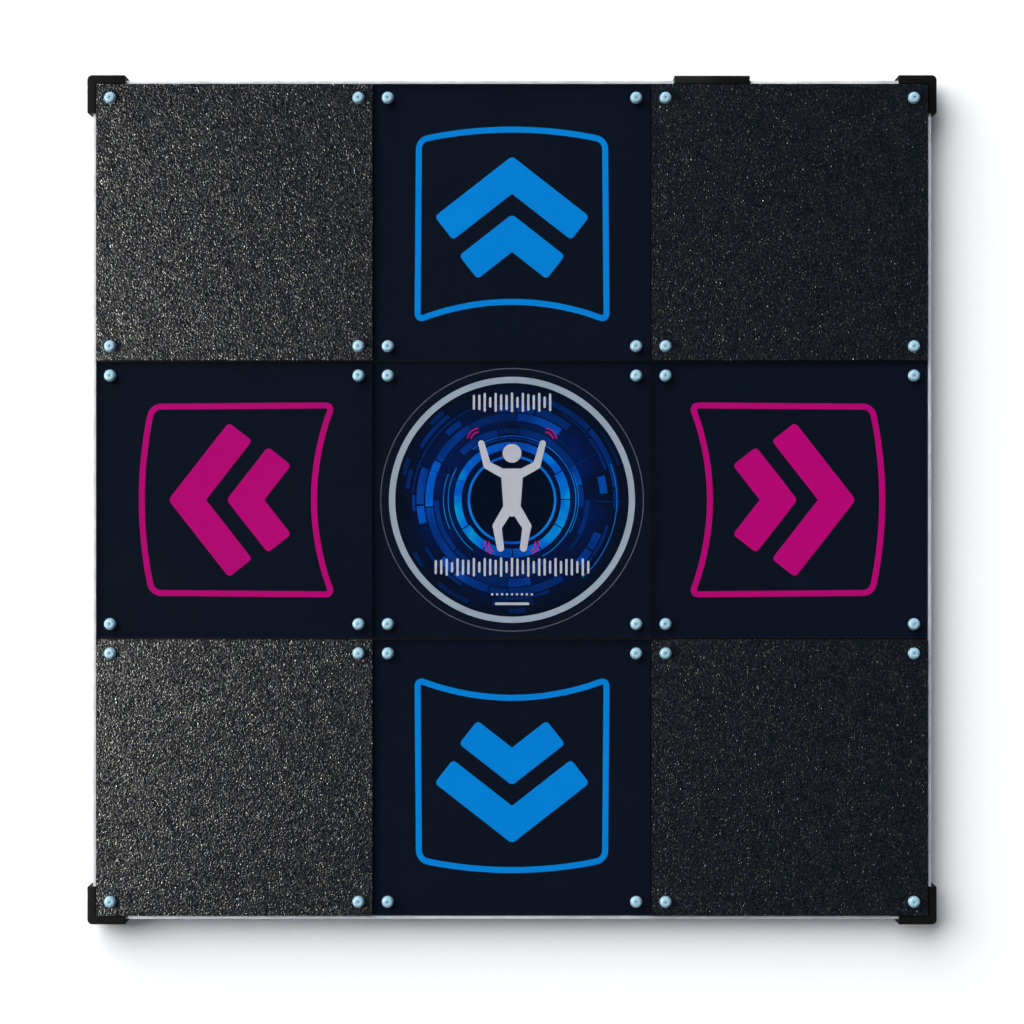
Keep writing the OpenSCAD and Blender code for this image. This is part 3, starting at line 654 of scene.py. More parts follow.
def round_corners(bm, verts, radius, segments=6):
    bmesh.ops.bevel(bm, geom=verts, offset=radius, segments=segments, profile=0.5,
                    affect="VERTICES", material=-1, clamp_overlap=True)


def thicken(bm, low, high):
    """Gives flat faces on height 0 a thickness, from low to high."""
    top = bmesh.ops.extrude_face_region(bm, geom=list(bm.faces))["geom"]
    lifted = {item for item in top if isinstance(item, bmesh.types.BMVert)}
    for vert in bm.verts:
        vert.co.z = high if vert in lifted else low
    bmesh.ops.recalc_face_normals(bm, faces=bm.faces)


def copies(shape, places):
    """One bmesh with the shape at every place."""
    single = meshed("single", shape)
    whole = bmesh.new()
    for place in places:
        count = len(whole.verts)
        whole.from_mesh(single)
        whole.verts.ensure_lookup_table()
        bmesh.ops.transform(whole, matrix=place, verts=whole.verts[count:])
    bpy.data.meshes.remove(single)
    return whole


def refined(name, material, radius, body="root", segments=2, above=-1.0, smooth=40):
    """A CAD node's own shape with its edges eased, standing for the node."""
    bm = merged(name)
    ease(bm, radius, segments, above)
    return piece(name + "_finished", bm, material, body, [name], smooth)


# ---------- screws ----------

# shares of a screw head's radius and height
LAND_WIDTH = 0.6
LAND_HEIGHT = 0.94
RIM_HEIGHT = 0.25
RECESS_DEPTH = 0.4
RECESS_TAPER = 0.6
# half the width of a recess's arm, as a share of its length
ARM_WIDTH = 0.27
DOME_STEPS = 5


def screw_shape(head_r, head_h, shank_r, length, recess):
    """A screw on Z, its head's underside on height 0: domed head, cross recess, shank with a point."""
    bm = bmesh.new()
    land_r = head_r * LAND_WIDTH
    land_z = head_h * LAND_HEIGHT
    rim_z = head_h * RIM_HEIGHT
    profile = [(land_r, land_z)]
    for i in range(1, DOME_STEPS + 1):
        turn = math.radians(90 * i / DOME_STEPS)
        profile.append((land_r + (head_r - land_r) * math.sin(turn),
                        rim_z + (land_z - rim_z) * math.cos(turn)))
    profile += [(head_r, 0), (shank_r, 0), (shank_r, -length + shank_r), (shank_r * 0.5, -length),
                (0, -length)]
    lathe(bm, profile, 28)
    ring = [edge for edge in bm.edges if edge.is_boundary]
    arm = head_r * recess
    half = arm * ARM_WIDTH
    arm_corners = ((arm, -half, land_z), (arm, half, land_z), (half, half, land_z))
    corners = []
    for quarter in range(4):
        turn = Matrix.Rotation(math.radians(90 * quarter), 3, "Z")
        corners += [turn @ Vector(corner) for corner in arm_corners]
    verts = [bm.verts.new(corner) for corner in corners]
    cross = [bm.edges.new(pair) for pair in zip(verts, verts[1:] + verts[:1])]
    bmesh.ops.triangle_fill(bm, edges=ring + cross, use_beauty=True, normal=(0, 0, 1))
    walls = bmesh.ops.extrude_edge_only(bm, edges=cross)["geom"]
    deep = [item for item in walls if isinstance(item, bmesh.types.BMVert)]
    bmesh.ops.translate(bm, vec=(0, 0, -head_h * RECESS_DEPTH), verts=deep)
    bmesh.ops.scale(bm, vec=(RECESS_TAPER, RECESS_TAPER, 1), verts=deep)
    bmesh.ops.contextual_create(bm, geom=[item for item in walls if isinstance(item, bmesh.types.BMEdge)])
    bmesh.ops.recalc_face_normals(bm, faces=bm.faces)
    return bm


def outward(middle, size):
    """Away from the pad along the screw's own length."""
    if size.x > size.y:
        return (math.copysign(1, middle.x), 0, 0)
    return (0, math.copysign(1, middle.y), 0)


def downward(middle, size):
    return (0, 0, -1)


def upward(middle, size):
    return (0, 0, 1)


def screw_set(name, node_name, material, way, head_r, head_h, shank_r, seed, recess=0.42):
    """A screw for each solid of a CAD node. way gives the direction from tip to head at a place."""
    places = []
    length = 0
    turns = random.Random(seed)
    for low, high in solids(node_name):
        middle = (low + high) / 2
        out = Vector(way(middle, high - low))
        reach = abs((high - low).dot(out))
        length = max(length, reach - head_h)
        base = middle + out * (reach / 2 - head_h)
        face = Vector((0, 0, 1)).rotation_difference(out).to_matrix().to_4x4()
        spin = Matrix.Rotation(turns.uniform(0, math.pi), 4, "Z")
        places.append(Matrix.Translation(base) @ face @ spin)
    shape = screw_shape(head_r, head_h, shank_r, length, recess)
    return piece(name, copies(shape, places), material, "root", [node_name], 35)


# ---------- grip panels ----------

GRIT_CELLS = 284
GRIT_DEPTH = 0.52 * MM
GRIT_WAVE = 0.34 * MM
GRIT_SCATTER = 0.32
SCREW_INSET = 14 * MM
SCREW_HOLE = 4.2 * MM


def grip_sheet(corner, material):
    """Anti-slip sheet: a field of grit facets with a hole at each screw, closed below."""
    low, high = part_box("grip_sheet_" + corner)
    size = high.x - low.x
    step = size / GRIT_CELLS
    draw = random.Random("grit " + corner)
    bm = bmesh.new()
    bmesh.ops.create_grid(bm, x_segments=GRIT_CELLS, y_segments=GRIT_CELLS, size=size / 2)
    bmesh.ops.translate(bm, vec=((low.x + high.x) / 2, (low.y + high.y) / 2, high.z), verts=bm.verts)
    for vert in bm.verts:
        x, y = vert.co.xy / MM
        wave = math.sin(0.17 * x + 0.07 * y) + math.sin(0.05 * x - 0.27 * y)
        vert.co.z -= GRIT_DEPTH * draw.random() + GRIT_WAVE * (0.5 + 0.25 * wave)
        if not vert.is_boundary:
            vert.co.x += draw.uniform(-GRIT_SCATTER, GRIT_SCATTER) * step
            vert.co.y += draw.uniform(-GRIT_SCATTER, GRIT_SCATTER) * step
    screws = [Vector((x, y)) for x in (low.x + SCREW_INSET, high.x - SCREW_INSET)
              for y in (low.y + SCREW_INSET, high.y - SCREW_INSET)]
    gone = [vert for vert in bm.verts if min((vert.co.xy - s).length for s in screws) < SCREW_HOLE]
    # then the corners where two holes would meet in one point, and what hangs loose
    while gone:
        bmesh.ops.delete(bm, geom=gone, context="VERTS")
        gone = [vert for vert in bm.verts if sum(edge.is_boundary for edge in vert.link_edges) > 2]
    bmesh.ops.delete(bm, geom=[edge for edge in bm.edges if edge.is_wire], context="EDGES")
    bmesh.ops.triangulate(bm, faces=bm.faces, quad_method="SHORT_EDGE")
    rim = [edge for edge in bm.edges if edge.is_boundary]
    walls = bmesh.ops.extrude_edge_only(bm, edges=rim)["geom"]
    for item in walls:
        if isinstance(item, bmesh.types.BMVert):
            item.co.z = low.z
    foot = [item for item in walls if isinstance(item, bmesh.types.BMEdge)]
    bmesh.ops.triangle_fill(bm, edges=foot, use_beauty=False, normal=(0, 0, -1))
    bmesh.ops.recalc_face_normals(bm, faces=bm.faces)
    piece("grip_surface_" + corner, bm, material, "root", ["grip_sheet_" + corner])


# ---------- printed sheets ----------

# the outline of an arrow, and its two chevrons as place of the tip and length of an edge, in millimetres
FRAME_FAR_X = 97
FRAME_FAR_Y = 86
FRAME_FAR_RISE = 11
FRAME_NEAR_X = 98.5
FRAME_NEAR_Y = -102.5
FRAME_NEAR_RISE = 19.5
FRAME_STROKE = 6
FRAME_CORNER = 11
CHEVRON_SLOPE = 38
CHEVRON_THICK = 30
CHEVRON_CORNER = 4
CHEVRONS = ((67.2, 99.2), (8.4, 67.8))


def bowed(edge_ends, rise, count=18):
    """Points from one end to the other in a shallow arc that rises by a given height between."""
    (x0, y0), (x1, y1) = edge_ends
    points = []
    for i in range(2, count - 1):
        t = i / count
        points.append((x0 + (x1 - x0) * t, y0 + (y1 - y0) * t + rise * (1 - (2 * t - 1) ** 2)))
    return points


def arrow_frame(bm):
    """The outline round an arrow: bowed at the far and near side, rounded at its corners."""
    far = [(-FRAME_FAR_X, FRAME_FAR_Y), (FRAME_FAR_X, FRAME_FAR_Y)]
    near = [(FRAME_NEAR_X, FRAME_NEAR_Y), (-FRAME_NEAR_X, FRAME_NEAR_Y)]
    outline = [far[0]] + bowed(far, FRAME_FAR_RISE) + [far[1], near[0]]
    outline += bowed(near, FRAME_NEAR_RISE) + [near[1]]
    face = flat_face(bm, outline)
    corners = [v for v in face.verts if abs(v.co.x) > (FRAME_FAR_X - 2) * MM]
    round_corners(bm, corners, FRAME_CORNER * MM)
    inset = bmesh.ops.inset_region(bm, faces=list(bm.faces), thickness=FRAME_STROKE * MM,
                                   use_even_offset=True, use_boundary=True)
    kept = set(inset["faces"])
    bmesh.ops.delete(bm, geom=[f for f in bm.faces if f not in kept], context="FACES")


def chevron(bm, apex, edge):
    """An angle that points to +Y: apex is its outer tip, edge the length of an outer edge."""
    slope = math.radians(CHEVRON_SLOPE)
    along = Vector((math.cos(slope), -math.sin(slope)))
    inward = Vector((-math.sin(slope), -math.cos(slope)))
    tip = Vector((0, apex))
    end = tip + along * edge
    back = end + inward * CHEVRON_THICK
    notch = Vector((0, apex - CHEVRON_THICK / math.cos(slope)))
    right = [tip, end, back, notch]
    left = [Vector((-p.x, p.y)) for p in (back, end)]
    face = flat_face(bm, right + left)
    corners = [v for v in face.verts if (v.co.xy / MM - notch).length > 1]
    round_corners(bm, corners, CHEVRON_CORNER * MM)


def print_layer(bm, level, steps=1):
    """Makes flat faces ink: a number of steps thick, on top of as many as its level."""
    thicken(bm, FILM_TOP + level * INK_STEP, FILM_TOP + (level + steps) * INK_STEP)


def film_sheet(side_or_centre, node_name, body, material):
    """The film of a printed sheet, with its screw holes."""
    bm = merged(node_name)
    for vert in bm.verts:
        vert.co.z = FILM_LOW if vert.co.z < FILM_LOW + 0.1 * MM else FILM_TOP
    bmesh.ops.recalc_face_normals(bm, faces=bm.faces)
    piece("film_" + side_or_centre, bm, material, body, [node_name])


def arrow_print(side, film, ink):
    body = "arrow_panel_" + side
    film_sheet(side, "arrow_graphic_" + side, body, film)
    low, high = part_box("arrow_graphic_" + side)
    place = Matrix.Translation(((low.x + high.x) / 2, (low.y + high.y) / 2, 0))
    place @= Matrix.Rotation(math.radians(ARROW_TURN[side]), 4, "Z")
    bm = bmesh.new()
    arrow_frame(bm)
    for apex, edge in CHEVRONS:
        part = bmesh.new()
        chevron(part, apex, edge)
        take_in(bm, part)
    print_layer(bm, 0, 2)
    bmesh.ops.transform(bm, matrix=place, verts=bm.verts)
    piece("arrow_ink_" + side, bm, ink, body)


# ---------- centre print ----------

GLOW_R = 118 * MM
SILVER_RING = (118, 124.3)
OUTER_RING = (132.2, 133.2)

# inner and outer radius, number of places, share that is filled, light, and least light of a piece
BROKEN_RINGS = (
    (49.5, 58.5, 12, 0.97, 1.1, 0.84), (61, 63, 22, 0.5, 0.5, 0.5), (66, 72.5, 20, 0.5, 0.6, 0.3),
    (74, 78.5, 26, 0.45, 0.45, 0.3), (80, 87.5, 22, 0.74, 0.86, 0.35), (89, 96.5, 30, 0.62, 0.74, 0.3),
    (98, 101, 34, 0.5, 0.4, 0.3), (102.5, 108, 30, 0.5, 0.4, 0.3), (110, 114.5, 36, 0.4, 0.25, 0.3))
RING_SEED = 31
# degree-millimetres to a step of an arc, and the gap at each end of a piece in degrees
ARC_STEP = 220
PIECE_GAP = 0.6

# thin arcs as radii and angles, and spokes as angle and radii
LIGHT_RING = (42.4, 44.8)
THIN_ARCS = ((64.2, 65, -62, 128), (64.2, 64.9, 150, 232), (69, 69.7, 158, 205), (66.8, 67.3, -30, 24),
             (105.6, 106.2, -48, 20))
SPOKES = ((-1, 86, 116), (29, 64, 104), (160, 52, 104), (199, 62, 98), (62, 78, 98))

# rows of level bars as height and count; the row of dots and the short line below them
BAR_ROWS = ((98.5, 15), (-68, 29))
BAR_PITCH = 5.5
BAR_WIDTH = 2.3
DOT_COUNT = 9
DOT_PITCH = 5
DOT_RADIUS = 1.2
DOT_Y = -95.5
LINE_ENDS = ((-16, -105), (16, -105))
LINE_WIDTH = 2.6

# the figure, as start, end and the radius at each: trunk, shoulders, then the limbs of its right side
TRUNK = ((0, 20), (0, -9), 11.5, 8)
SHOULDERS = ((-8, 27), (8, 27), 4.6, 4.6)
LIMBS = (((10, 27), (25, 35), 4.6, 4), ((25, 35), (31, 57), 4, 3.1),
         ((4.6, -10), (15, -27), 5.6, 4.6), ((15, -27), (11.5, -49), 4.6, 3.4))
HEAD_RADIUS = 9.5
HEAD_Y = 47

# strokes off a hand and a foot as place and first angle; their radii, width and length in degrees
STROKES = ((33, 60, 10), (15, -44, -62))
STROKE_RADII = (8, 11.5)
STROKE_WIDTH = 1.3
STROKE_SWEEP = 75


def arc(bm, inner, outer, start, end, light=1.0):
    """A flat piece of a ring on height 0, radii in millimetres and angles in degrees, with its light."""
    lit = bm.faces.layers.float.get("light") or bm.faces.layers.float.new("light")
    verts = [bm.verts.new((inner * MM, 0, 0)), bm.verts.new((outer * MM, 0, 0))]
    edge = bm.edges.new(verts)
    full = abs(end - start) >= 360
    steps = max(2, math.ceil(abs(end - start) * outer / ARC_STEP))
    before = set(bm.verts)
    bmesh.ops.spin(bm, geom=verts + [edge], cent=(0, 0, 0), axis=(0, 0, 1), dvec=(0, 0, 0),
                   angle=math.radians(end - start), steps=steps, use_merge=full, use_duplicate=False)
    made = verts + [v for v in bm.verts if v not in before]
    for face in {face for vert in made for face in vert.link_faces}:
        face[lit] = light
    bmesh.ops.rotate(bm, cent=(0, 0, 0), matrix=Matrix.Rotation(math.radians(start), 3, "Z"), verts=made)
    return made


def bar(bm, start, end, width):
    """A flat bar with round ends between two points, in millimetres."""
    start, end = Vector(start), Vector(end)
    along = (end - start).normalized() * (width / 2)
    across = Vector((-along.y, along.x))
    first = start - along
    last = end + along
    face = flat_face(bm, [first - across, last - across, last + across, first + across])
    round_corners(bm, list(face.verts), width * 0.499 * MM)


def silver_ring(bm):
    arc(bm, *SILVER_RING, 0, 360)


def outer_ring(bm):
    arc(bm, *OUTER_RING, 0, 360)


def broken_rings(bm):
    """Rings of light broken into pieces, some brighter than others."""
    draw = random.Random(RING_SEED)
    for inner, outer, places, share, light, spread in BROKEN_RINGS:
        step = 360 / places
        turn = draw.uniform(0, step)
        i = 0
        while i < places:
            run = min(draw.choice((1, 1, 2, 3)), places - i)
            if draw.random() < share:
                trim = draw.choice((0, 0, 1.5))
                arc(bm, inner + trim, outer, turn + i * step + PIECE_GAP,
                    turn + (i + run) * step - PIECE_GAP, light * draw.uniform(spread, 1))
            i += run


def thin_rings(bm):
    """Whole thin rings and a few spokes of light."""
    arc(bm, *LIGHT_RING, 0, 360, 0.72)
    for inner, outer, start, end in THIN_ARCS:
        arc(bm, inner, outer, start, end, 0.7)
    for turn, inner, outer in SPOKES:
        verts = flat_face(bm, [(inner, -0.4), (outer, -0.12), (outer, 0.12), (inner, 0.4)]).verts
        bmesh.ops.rotate(bm, cent=(0, 0, 0), matrix=Matrix.Rotation(math.radians(turn), 3, "Z"), verts=verts)


def level_bars(bm):
    """Rows of level bars above and below the figure, a row of dots and a short line."""
    for middle_y, count in BAR_ROWS:
        for i in range(count):
            x = (i - (count - 1) / 2) * BAR_PITCH
            level = 4 + 5 * abs(math.sin(1.9 * i + 0.6)) * (1 - 0.3 * abs(x) / 80)
            bar(bm, (x, middle_y - level), (x, middle_y + level), BAR_WIDTH)
    for i in range(DOT_COUNT):
        x = (i - (DOT_COUNT - 1) / 2) * DOT_PITCH
        bmesh.ops.create_circle(bm, cap_ends=True, segments=16, radius=DOT_RADIUS * MM,
                                matrix=Matrix.Translation((x * MM, DOT_Y * MM, 0)))
    bar(bm, *LINE_ENDS, LINE_WIDTH)


def limb(start, end, start_r, end_r):
    """A flat limb with round ends, wider at one end than at the other, as a thick bmesh."""
    bm = bmesh.new()
    start, end = Vector(start), Vector(end)
    along = (end - start).normalized()
    across = Vector((-along.y, along.x))
    corners = [start - along * start_r - across * start_r, end + along * end_r - across * end_r,
               end + along * end_r + across * end_r, start - along * start_r + across * start_r]
    face = flat_face(bm, corners)
    for vert in list(face.verts):
        near_start = (vert.co.xy / MM - start).length < (vert.co.xy / MM - end).length
        round_corners(bm, [vert], (start_r if near_start else end_r) * 0.99 * MM)
    print_layer(bm, FIGURE_LAYER)
    return bm


def plain_figure(ink):
    """A plain sign of a person with both arms up, joined of round-ended limbs."""
    parts = [limb(*TRUNK), limb(*SHOULDERS)]
    for side in (-1, 1):
        for (x0, y0), (x1, y1), start_r, end_r in LIMBS:
            parts.append(limb((side * x0, y0), (side * x1, y1), start_r, end_r))
    head = bmesh.new()
    bmesh.ops.create_circle(head, cap_ends=True, segments=40, radius=HEAD_RADIUS * MM,
                            matrix=Matrix.Translation((0, HEAD_Y * MM, 0)))
    print_layer(head, FIGURE_LAYER)
    piece("centre_figure", united(parts + [head]), ink, "root")


def magenta_marks(bm):
    """Short curved strokes off the figure's hands and feet."""
    for side in (-1, 1):
        for x, y, start in STROKES:
            for radius in STROKE_RADII:
                turn = start if side > 0 else 180 - start - STROKE_SWEEP
                made = arc(bm, radius, radius + STROKE_WIDTH, turn, turn + STROKE_SWEEP)
                bmesh.ops.translate(bm, vec=(side * x * MM, y * MM, 0), verts=made)


def in_order(bm):
    """Sorts a mesh by place, because a join may give its corners in another order each time."""
    for items in (bm.verts, bm.edges, bm.faces):
        places = {}
        for item in items:
            corners = [vert.co for vert in getattr(item, "verts", (item,))]
            places[item] = [round(sum(co[axis] for co in corners) / len(corners), 7) for axis in range(3)]
        rank = {item: i for i, item in enumerate(sorted(places, key=places.get))}
        items.sort(key=rank.get)


def united(parts):
    """One closed shape of several that overlap."""
    objects = [shaped("part", part) for part in parts]
    whole = objects[0]
    for other in objects[1:]:
        join = whole.modifiers.new("join", "BOOLEAN")
        join.operation = "UNION"
        join.solver = "EXACT"
        join.object = other
    bpy.context.view_layer.update()
    bm = bmesh.new()
    bm.from_object(whole, bpy.context.evaluated_depsgraph_get())
    for made in objects:
        mesh = made.data
        bpy.data.objects.remove(made)
        bpy.data.meshes.remove(mesh)
    in_order(bm)
    bmesh.ops.remove_doubles(bm, verts=bm.verts, dist=0.001 * MM)
    bmesh.ops.dissolve_limit(bm, angle_limit=FLAT_FOLD, verts=bm.verts, edges=bm.edges)
    in_order(bm)
    return bm


def ink_layer(name, draw_shapes, level, ink, steps=1):
    bm = bmesh.new()
    draw_shapes(bm)
    print_layer(bm, level, steps)
    piece(name, bm, ink, "root")


def glow_disc(bm):
    bmesh.ops.create_circle(bm, cap_ends=True, segments=128, radius=GLOW_R)


def centre_print(film, inks):
    film_sheet("centre", "centre_graphic", "root", film)
    ink_layer("centre_glow", glow_disc, 0, inks["glow"])
    ink_layer("centre_broken_rings", broken_rings, 1, inks["blue"])
    ink_layer("centre_thin_rings", thin_rings, 2, inks["cyan"])
    ink_layer("centre_silver_ring", silver_ring, 0, inks["silver"], 2)
    ink_layer("centre_outer_ring", outer_ring, 0, inks["grey"], 2)
    ink_layer("centre_level_bars", level_bars, FIGURE_LAYER, inks["white"])
    plain_figure(inks["white"])
    ink_layer("centre_strokes", magenta_marks, FIGURE_LAYER, inks["magenta"])


# ---------- panel fasteners ----------

HEAD_R = 5.25 * MM
HEAD_H = 2.95 * MM
SHANK_R = 3 * MM
WASHER_R = 6 * MM
WASHER_BORE_R = 3.3 * MM
WASHER_EDGE = 0.2 * MM


def panel_fasteners(screw_finish, washer_finish):
    screw_set("panel_screw_heads", "panel_screws", screw_finish, upward,
              HEAD_R, HEAD_H, SHANK_R, 11, recess=0.32)
    low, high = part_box("panel_washers")
    shape = bmesh.new()
    lathe(shape, [(WASHER_BORE_R, low.z), (WASHER_R, low.z), (WASHER_R, high.z - WASHER_EDGE),
                  (WASHER_R - WASHER_EDGE, high.z), (WASHER_BORE_R + WASHER_EDGE, high.z),
                  (WASHER_BORE_R, high.z - WASHER_EDGE)], 36, closed=True)
    bmesh.ops.recalc_face_normals(shape, faces=shape.faces)
    places = []
    for a, b in solids("panel_washers"):
        places.append(Matrix.Translation(((a.x + b.x) / 2, (a.y + b.y) / 2, 0)))
    piece("panel_washer_rings", copies(shape, places), washer_finish, "root",
          ["panel_washers"], 35)


# ---------- foam ----------

FOAM_EDGE = 1.2 * MM
FOAM_WAIST = 0.035
FOAM_RIPPLE = 0.3 * MM


def foam_ring(side, material):
    """Four strips of foam under an arrow panel, with soft edges and slightly hollow sides."""
    bm = bmesh.new()
    for low, high in solids("foam_strips_" + side):
        part = bmesh.new()
        block(part, low, high)
        middle = (low + high) / 2
        half = (high - low) / 2
        ease(part, FOAM_EDGE, 3)
        bmesh.ops.subdivide_edges(part, edges=[e for e in part.edges if e.calc_length() > 20 * MM], cuts=24,
                                  use_grid_fill=True)
        across = 1 if half.x > half.y else 0
        for vert in part.verts:
            level = (vert.co.z - middle.z) / half.z
            waist = 1 - FOAM_WAIST * (1 - level * level)
            vert.co[across] = middle[across] + (vert.co[across] - middle[across]) * waist
            ripple = noise.noise(vert.co * 60)
            vert.co[across] -= FOAM_RIPPLE * (1 + ripple) * (1 if vert.co[across] > middle[across] else -1)
        take_in(bm, part)
    ring = piece("foam_ring_" + side, bm, material, "root", ["foam_strips_" + side], 60)
    low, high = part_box("foam_strips_" + side)
    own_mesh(ring)


# ---------- data socket and controller ----------

def data_socket(shell_finish, tongue_finish, contact_finish):
    """Square socket: a folded shell, a tongue inside it and four contacts on the tongue."""
    low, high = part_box("data_socket")
    middle = (low + high) / 2
    wall_x, wall_z, depth = 1.6 * MM, 1.3 * MM, 10 * MM
    tongue_x, tongue_z = 2.7 * MM, 1.5 * MM
    bm = bmesh.new()
    block(bm, low, high)
    front = [f for f in bm.faces if f.normal.y > 0.9]
    inset = bmesh.ops.inset_region(bm, faces=front, thickness=wall_x, use_even_offset=True)
    mouth = [f for f in bm.faces if f.normal.y > 0.9 and f not in inset["faces"]]
    for vert in mouth[0].verts:
        vert.co.z = middle.z + (high.z - middle.z - wall_z) * (1 if vert.co.z > middle.z else -1)
    sunk = bmesh.ops.extrude_discrete_faces(bm, faces=mouth)["faces"]
    bmesh.ops.translate(bm, vec=(0, -depth, 0), verts=sunk[0].verts)
    ease(bm, 0.35 * MM, 3)
    piece("data_socket_shell", bm, shell_finish, "root", ["data_socket"], 35)
    tongue = bmesh.new()
    floor_y = high.y - depth
    block(tongue, (middle.x - tongue_x, floor_y - 0.5 * MM, middle.z - tongue_z),
          (middle.x + tongue_x, high.y - 2.2 * MM, middle.z + tongue_z))
    ease(tongue, 0.3 * MM, 2)
    piece("data_socket_tongue", tongue, tongue_finish, "root", (), 35)
    contacts = bmesh.new()
    for x in (-1.2, 1.2):
        for z in (-1.5, 1.5):
            strip = (middle.x + (x - 0.5) * MM, floor_y, middle.z + (z - 0.12) * MM)
            block(contacts, strip, (strip[0] + 1 * MM, high.y - 3 * MM, strip[2] + 0.24 * MM))
    ease(contacts, 0.05 * MM, 2)
    piece("data_socket_contacts", contacts, contact_finish, "root", (), 35)


HEADER_H = 4 * MM
PIN_PITCH = 1.27 * MM


def controller_chips(chip_finish, header_finish, pin_finish):
    """Chips with legs, and pin headers, for each solid of the CAD node."""
    chips = bmesh.new()
    headers = bmesh.new()
    legs = bmesh.new()
    for low, high in solids("controller_chips"):
        tall = high.z - low.z > HEADER_H
        target = headers if tall else chips
        lift = 0 if tall else 0.25 * MM
        part = bmesh.new()
        block(part, (low.x, low.y, low.z + lift), high)
        ease(part, 0.25 * MM, 2)
        take_in(target, part)
        middle = (low + high) / 2
        if tall:
            for x in (middle.x - PIN_PITCH, middle.x + PIN_PITCH):
                block(legs, (x - 0.3 * MM, middle.y - 0.3 * MM, high.z - 0.5 * MM),
                      (x + 0.3 * MM, middle.y + 0.3 * MM, high.z + 1.2 * MM))
        else:
            count = int((high.y - low.y) / PIN_PITCH)
            for i in range(count):
                y = middle.y + (i - (count - 1) / 2) * PIN_PITCH
                for edge, side in ((low.x, -1), (high.x, 1)):
                    ends = sorted((edge - side * 0.2 * MM, edge + side * 0.9 * MM))
                    block(legs, (ends[0], y - 0.2 * MM, low.z),
                          (ends[1], y + 0.2 * MM, low.z + 0.7 * MM))
    piece("controller_chip_bodies", chips, chip_finish, "root", ["controller_chips"], 35)
    piece("controller_headers", headers, header_finish, "root", (), 35)
    piece("controller_pins", legs, pin_finish, "root")


def smooth_leads(material):
    """The leads, with their tubes shaded round."""
    bm = merged("contact_leads")
    piece("contact_lead_wires", bm, material, "root", ["contact_leads"], 50)


# ---------- studio ----------

KEY_WAY = (1.0, -1.0, -1.08)
KEY_STRENGTH = 5.2
KEY_SOFTNESS = 66
RAKE_PLACE = (-1.35, -0.05, 0.66)
RAKE_AIM = (0.0, 0.0, 0.03)
RAKE_SIZE = (1.0, 0.34)
RAKE_POWER = 56.0
RAKE_COLOUR = (1.0, 0.96, 0.9)
OVERHEAD_COLOUR = (0.05, 0.062, 0.084, 1)
WALL_COLOUR = (0.26, 0.275, 0.3, 1)
BACKDROP_COLOUR = (0.97, 0.975, 0.98, 1)
FLOOR_HALF = 30
FLOOR_DROP = 0.2 * MM


def aimed(way):
    """The turn that makes a light shine along a direction."""
    return Vector(way).to_track_quat("-Z", "Y").to_euler()


def key_light():
    """A distant soft light from the back left, for matt surfaces only."""
    data = bpy.data.lights.new("key", "SUN")
    data.energy = KEY_STRENGTH
    data.angle = math.radians(KEY_SOFTNESS)
    lamp = linked("key", data)
    lamp.rotation_euler = aimed(KEY_WAY)
    lamp.visible_glossy = False


def raking_light():
    """A strip of light from the left, for gloss only; returns the collection that it falls on."""
    data = bpy.data.lights.new("left", "AREA")
    data.shape = "RECTANGLE"
    data.color = RAKE_COLOUR
    data.size, data.size_y = RAKE_SIZE
    data.energy = RAKE_POWER
    lamp = linked("left", data)
    lamp.location = RAKE_PLACE
    lamp.rotation_euler = aimed(Vector(RAKE_AIM) - Vector(RAKE_PLACE))
    lamp.visible_diffuse = False
    lamp.light_linking.receiver_collection = bpy.data.collections.new("lit from the left")
    return lamp.light_linking.receiver_collection


def pale_room():
    """The room's own light: dim overhead, brighter towards the walls, and pale behind the pad."""
    world = bpy.data.worlds.new("studio")
    world.use_nodes = True
    tree = world.node_tree
    height = node(tree, "SeparateXYZ", {0: node(tree, "TexCoord", out="Generated")}, out="Z")
    walls = ranged(tree, height, 0.1, 0.95, 1.0, 0.0)
    room = mixed(tree, walls, OVERHEAD_COLOUR, WALL_COLOUR)
    seen = node(tree, "LightPath", out="Is Camera Ray")
    tree.links.new(mixed(tree, seen, room, BACKDROP_COLOUR), tree.nodes["Background"].inputs["Color"])
    bpy.context.scene.world = world


def studio(floor_finish):
    """Room, lights and floor; returns the collection that the raking light falls on."""
    bpy.context.scene.view_settings.view_transform = "Standard"
    bpy.context.scene.view_settings.look = "None"
    pale_room()
    key_light()
    raked = raking_light()
    bm = bmesh.new()
    bmesh.ops.create_grid(bm, x_segments=4, y_segments=4, size=FLOOR_HALF)
    bmesh.ops.translate(bm, vec=(0, 0, -FLOOR_DROP), verts=bm.verts)
    floor = shaped("floor", bm)
    floor.data.materials.append(floor_finish)
    return raked


# ---------- the pad ----------

def dress(names, material):
    """Gives CAD nodes that stay as they are a finish of their own."""
    for name in names:
        for slot in frame["nodes"][name].material_slots:
            slot.material = material


overhead_camera()
raked = studio(studio_floor())

board_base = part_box("base_board")[0].z
grip_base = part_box("grip_board_front_left")[0].z
dress(["base_board"], wood("birch plywood", rgb(214, 184, 140), rgb(178, 140, 96), grain_turn=0, rough=0.5,
                           layer=1.5 * MM, base=board_base))
# the battens are coloured near black as painted shade: they show in the gaps between panels, where shade
# falls
dress(["batten_front", "batten_back", "batten_row_front", "batten_row_back"],
      wood("near-black pine for painted gap shade along the rows", rgb(36, 30, 25), rgb(18, 15, 13), grain_turn=0))
dress(["battens_cross_outer", "battens_cross_inner"],
      wood("near-black pine for painted gap shade across the rows", rgb(34, 29, 24), rgb(18, 15, 13), grain_turn=90))
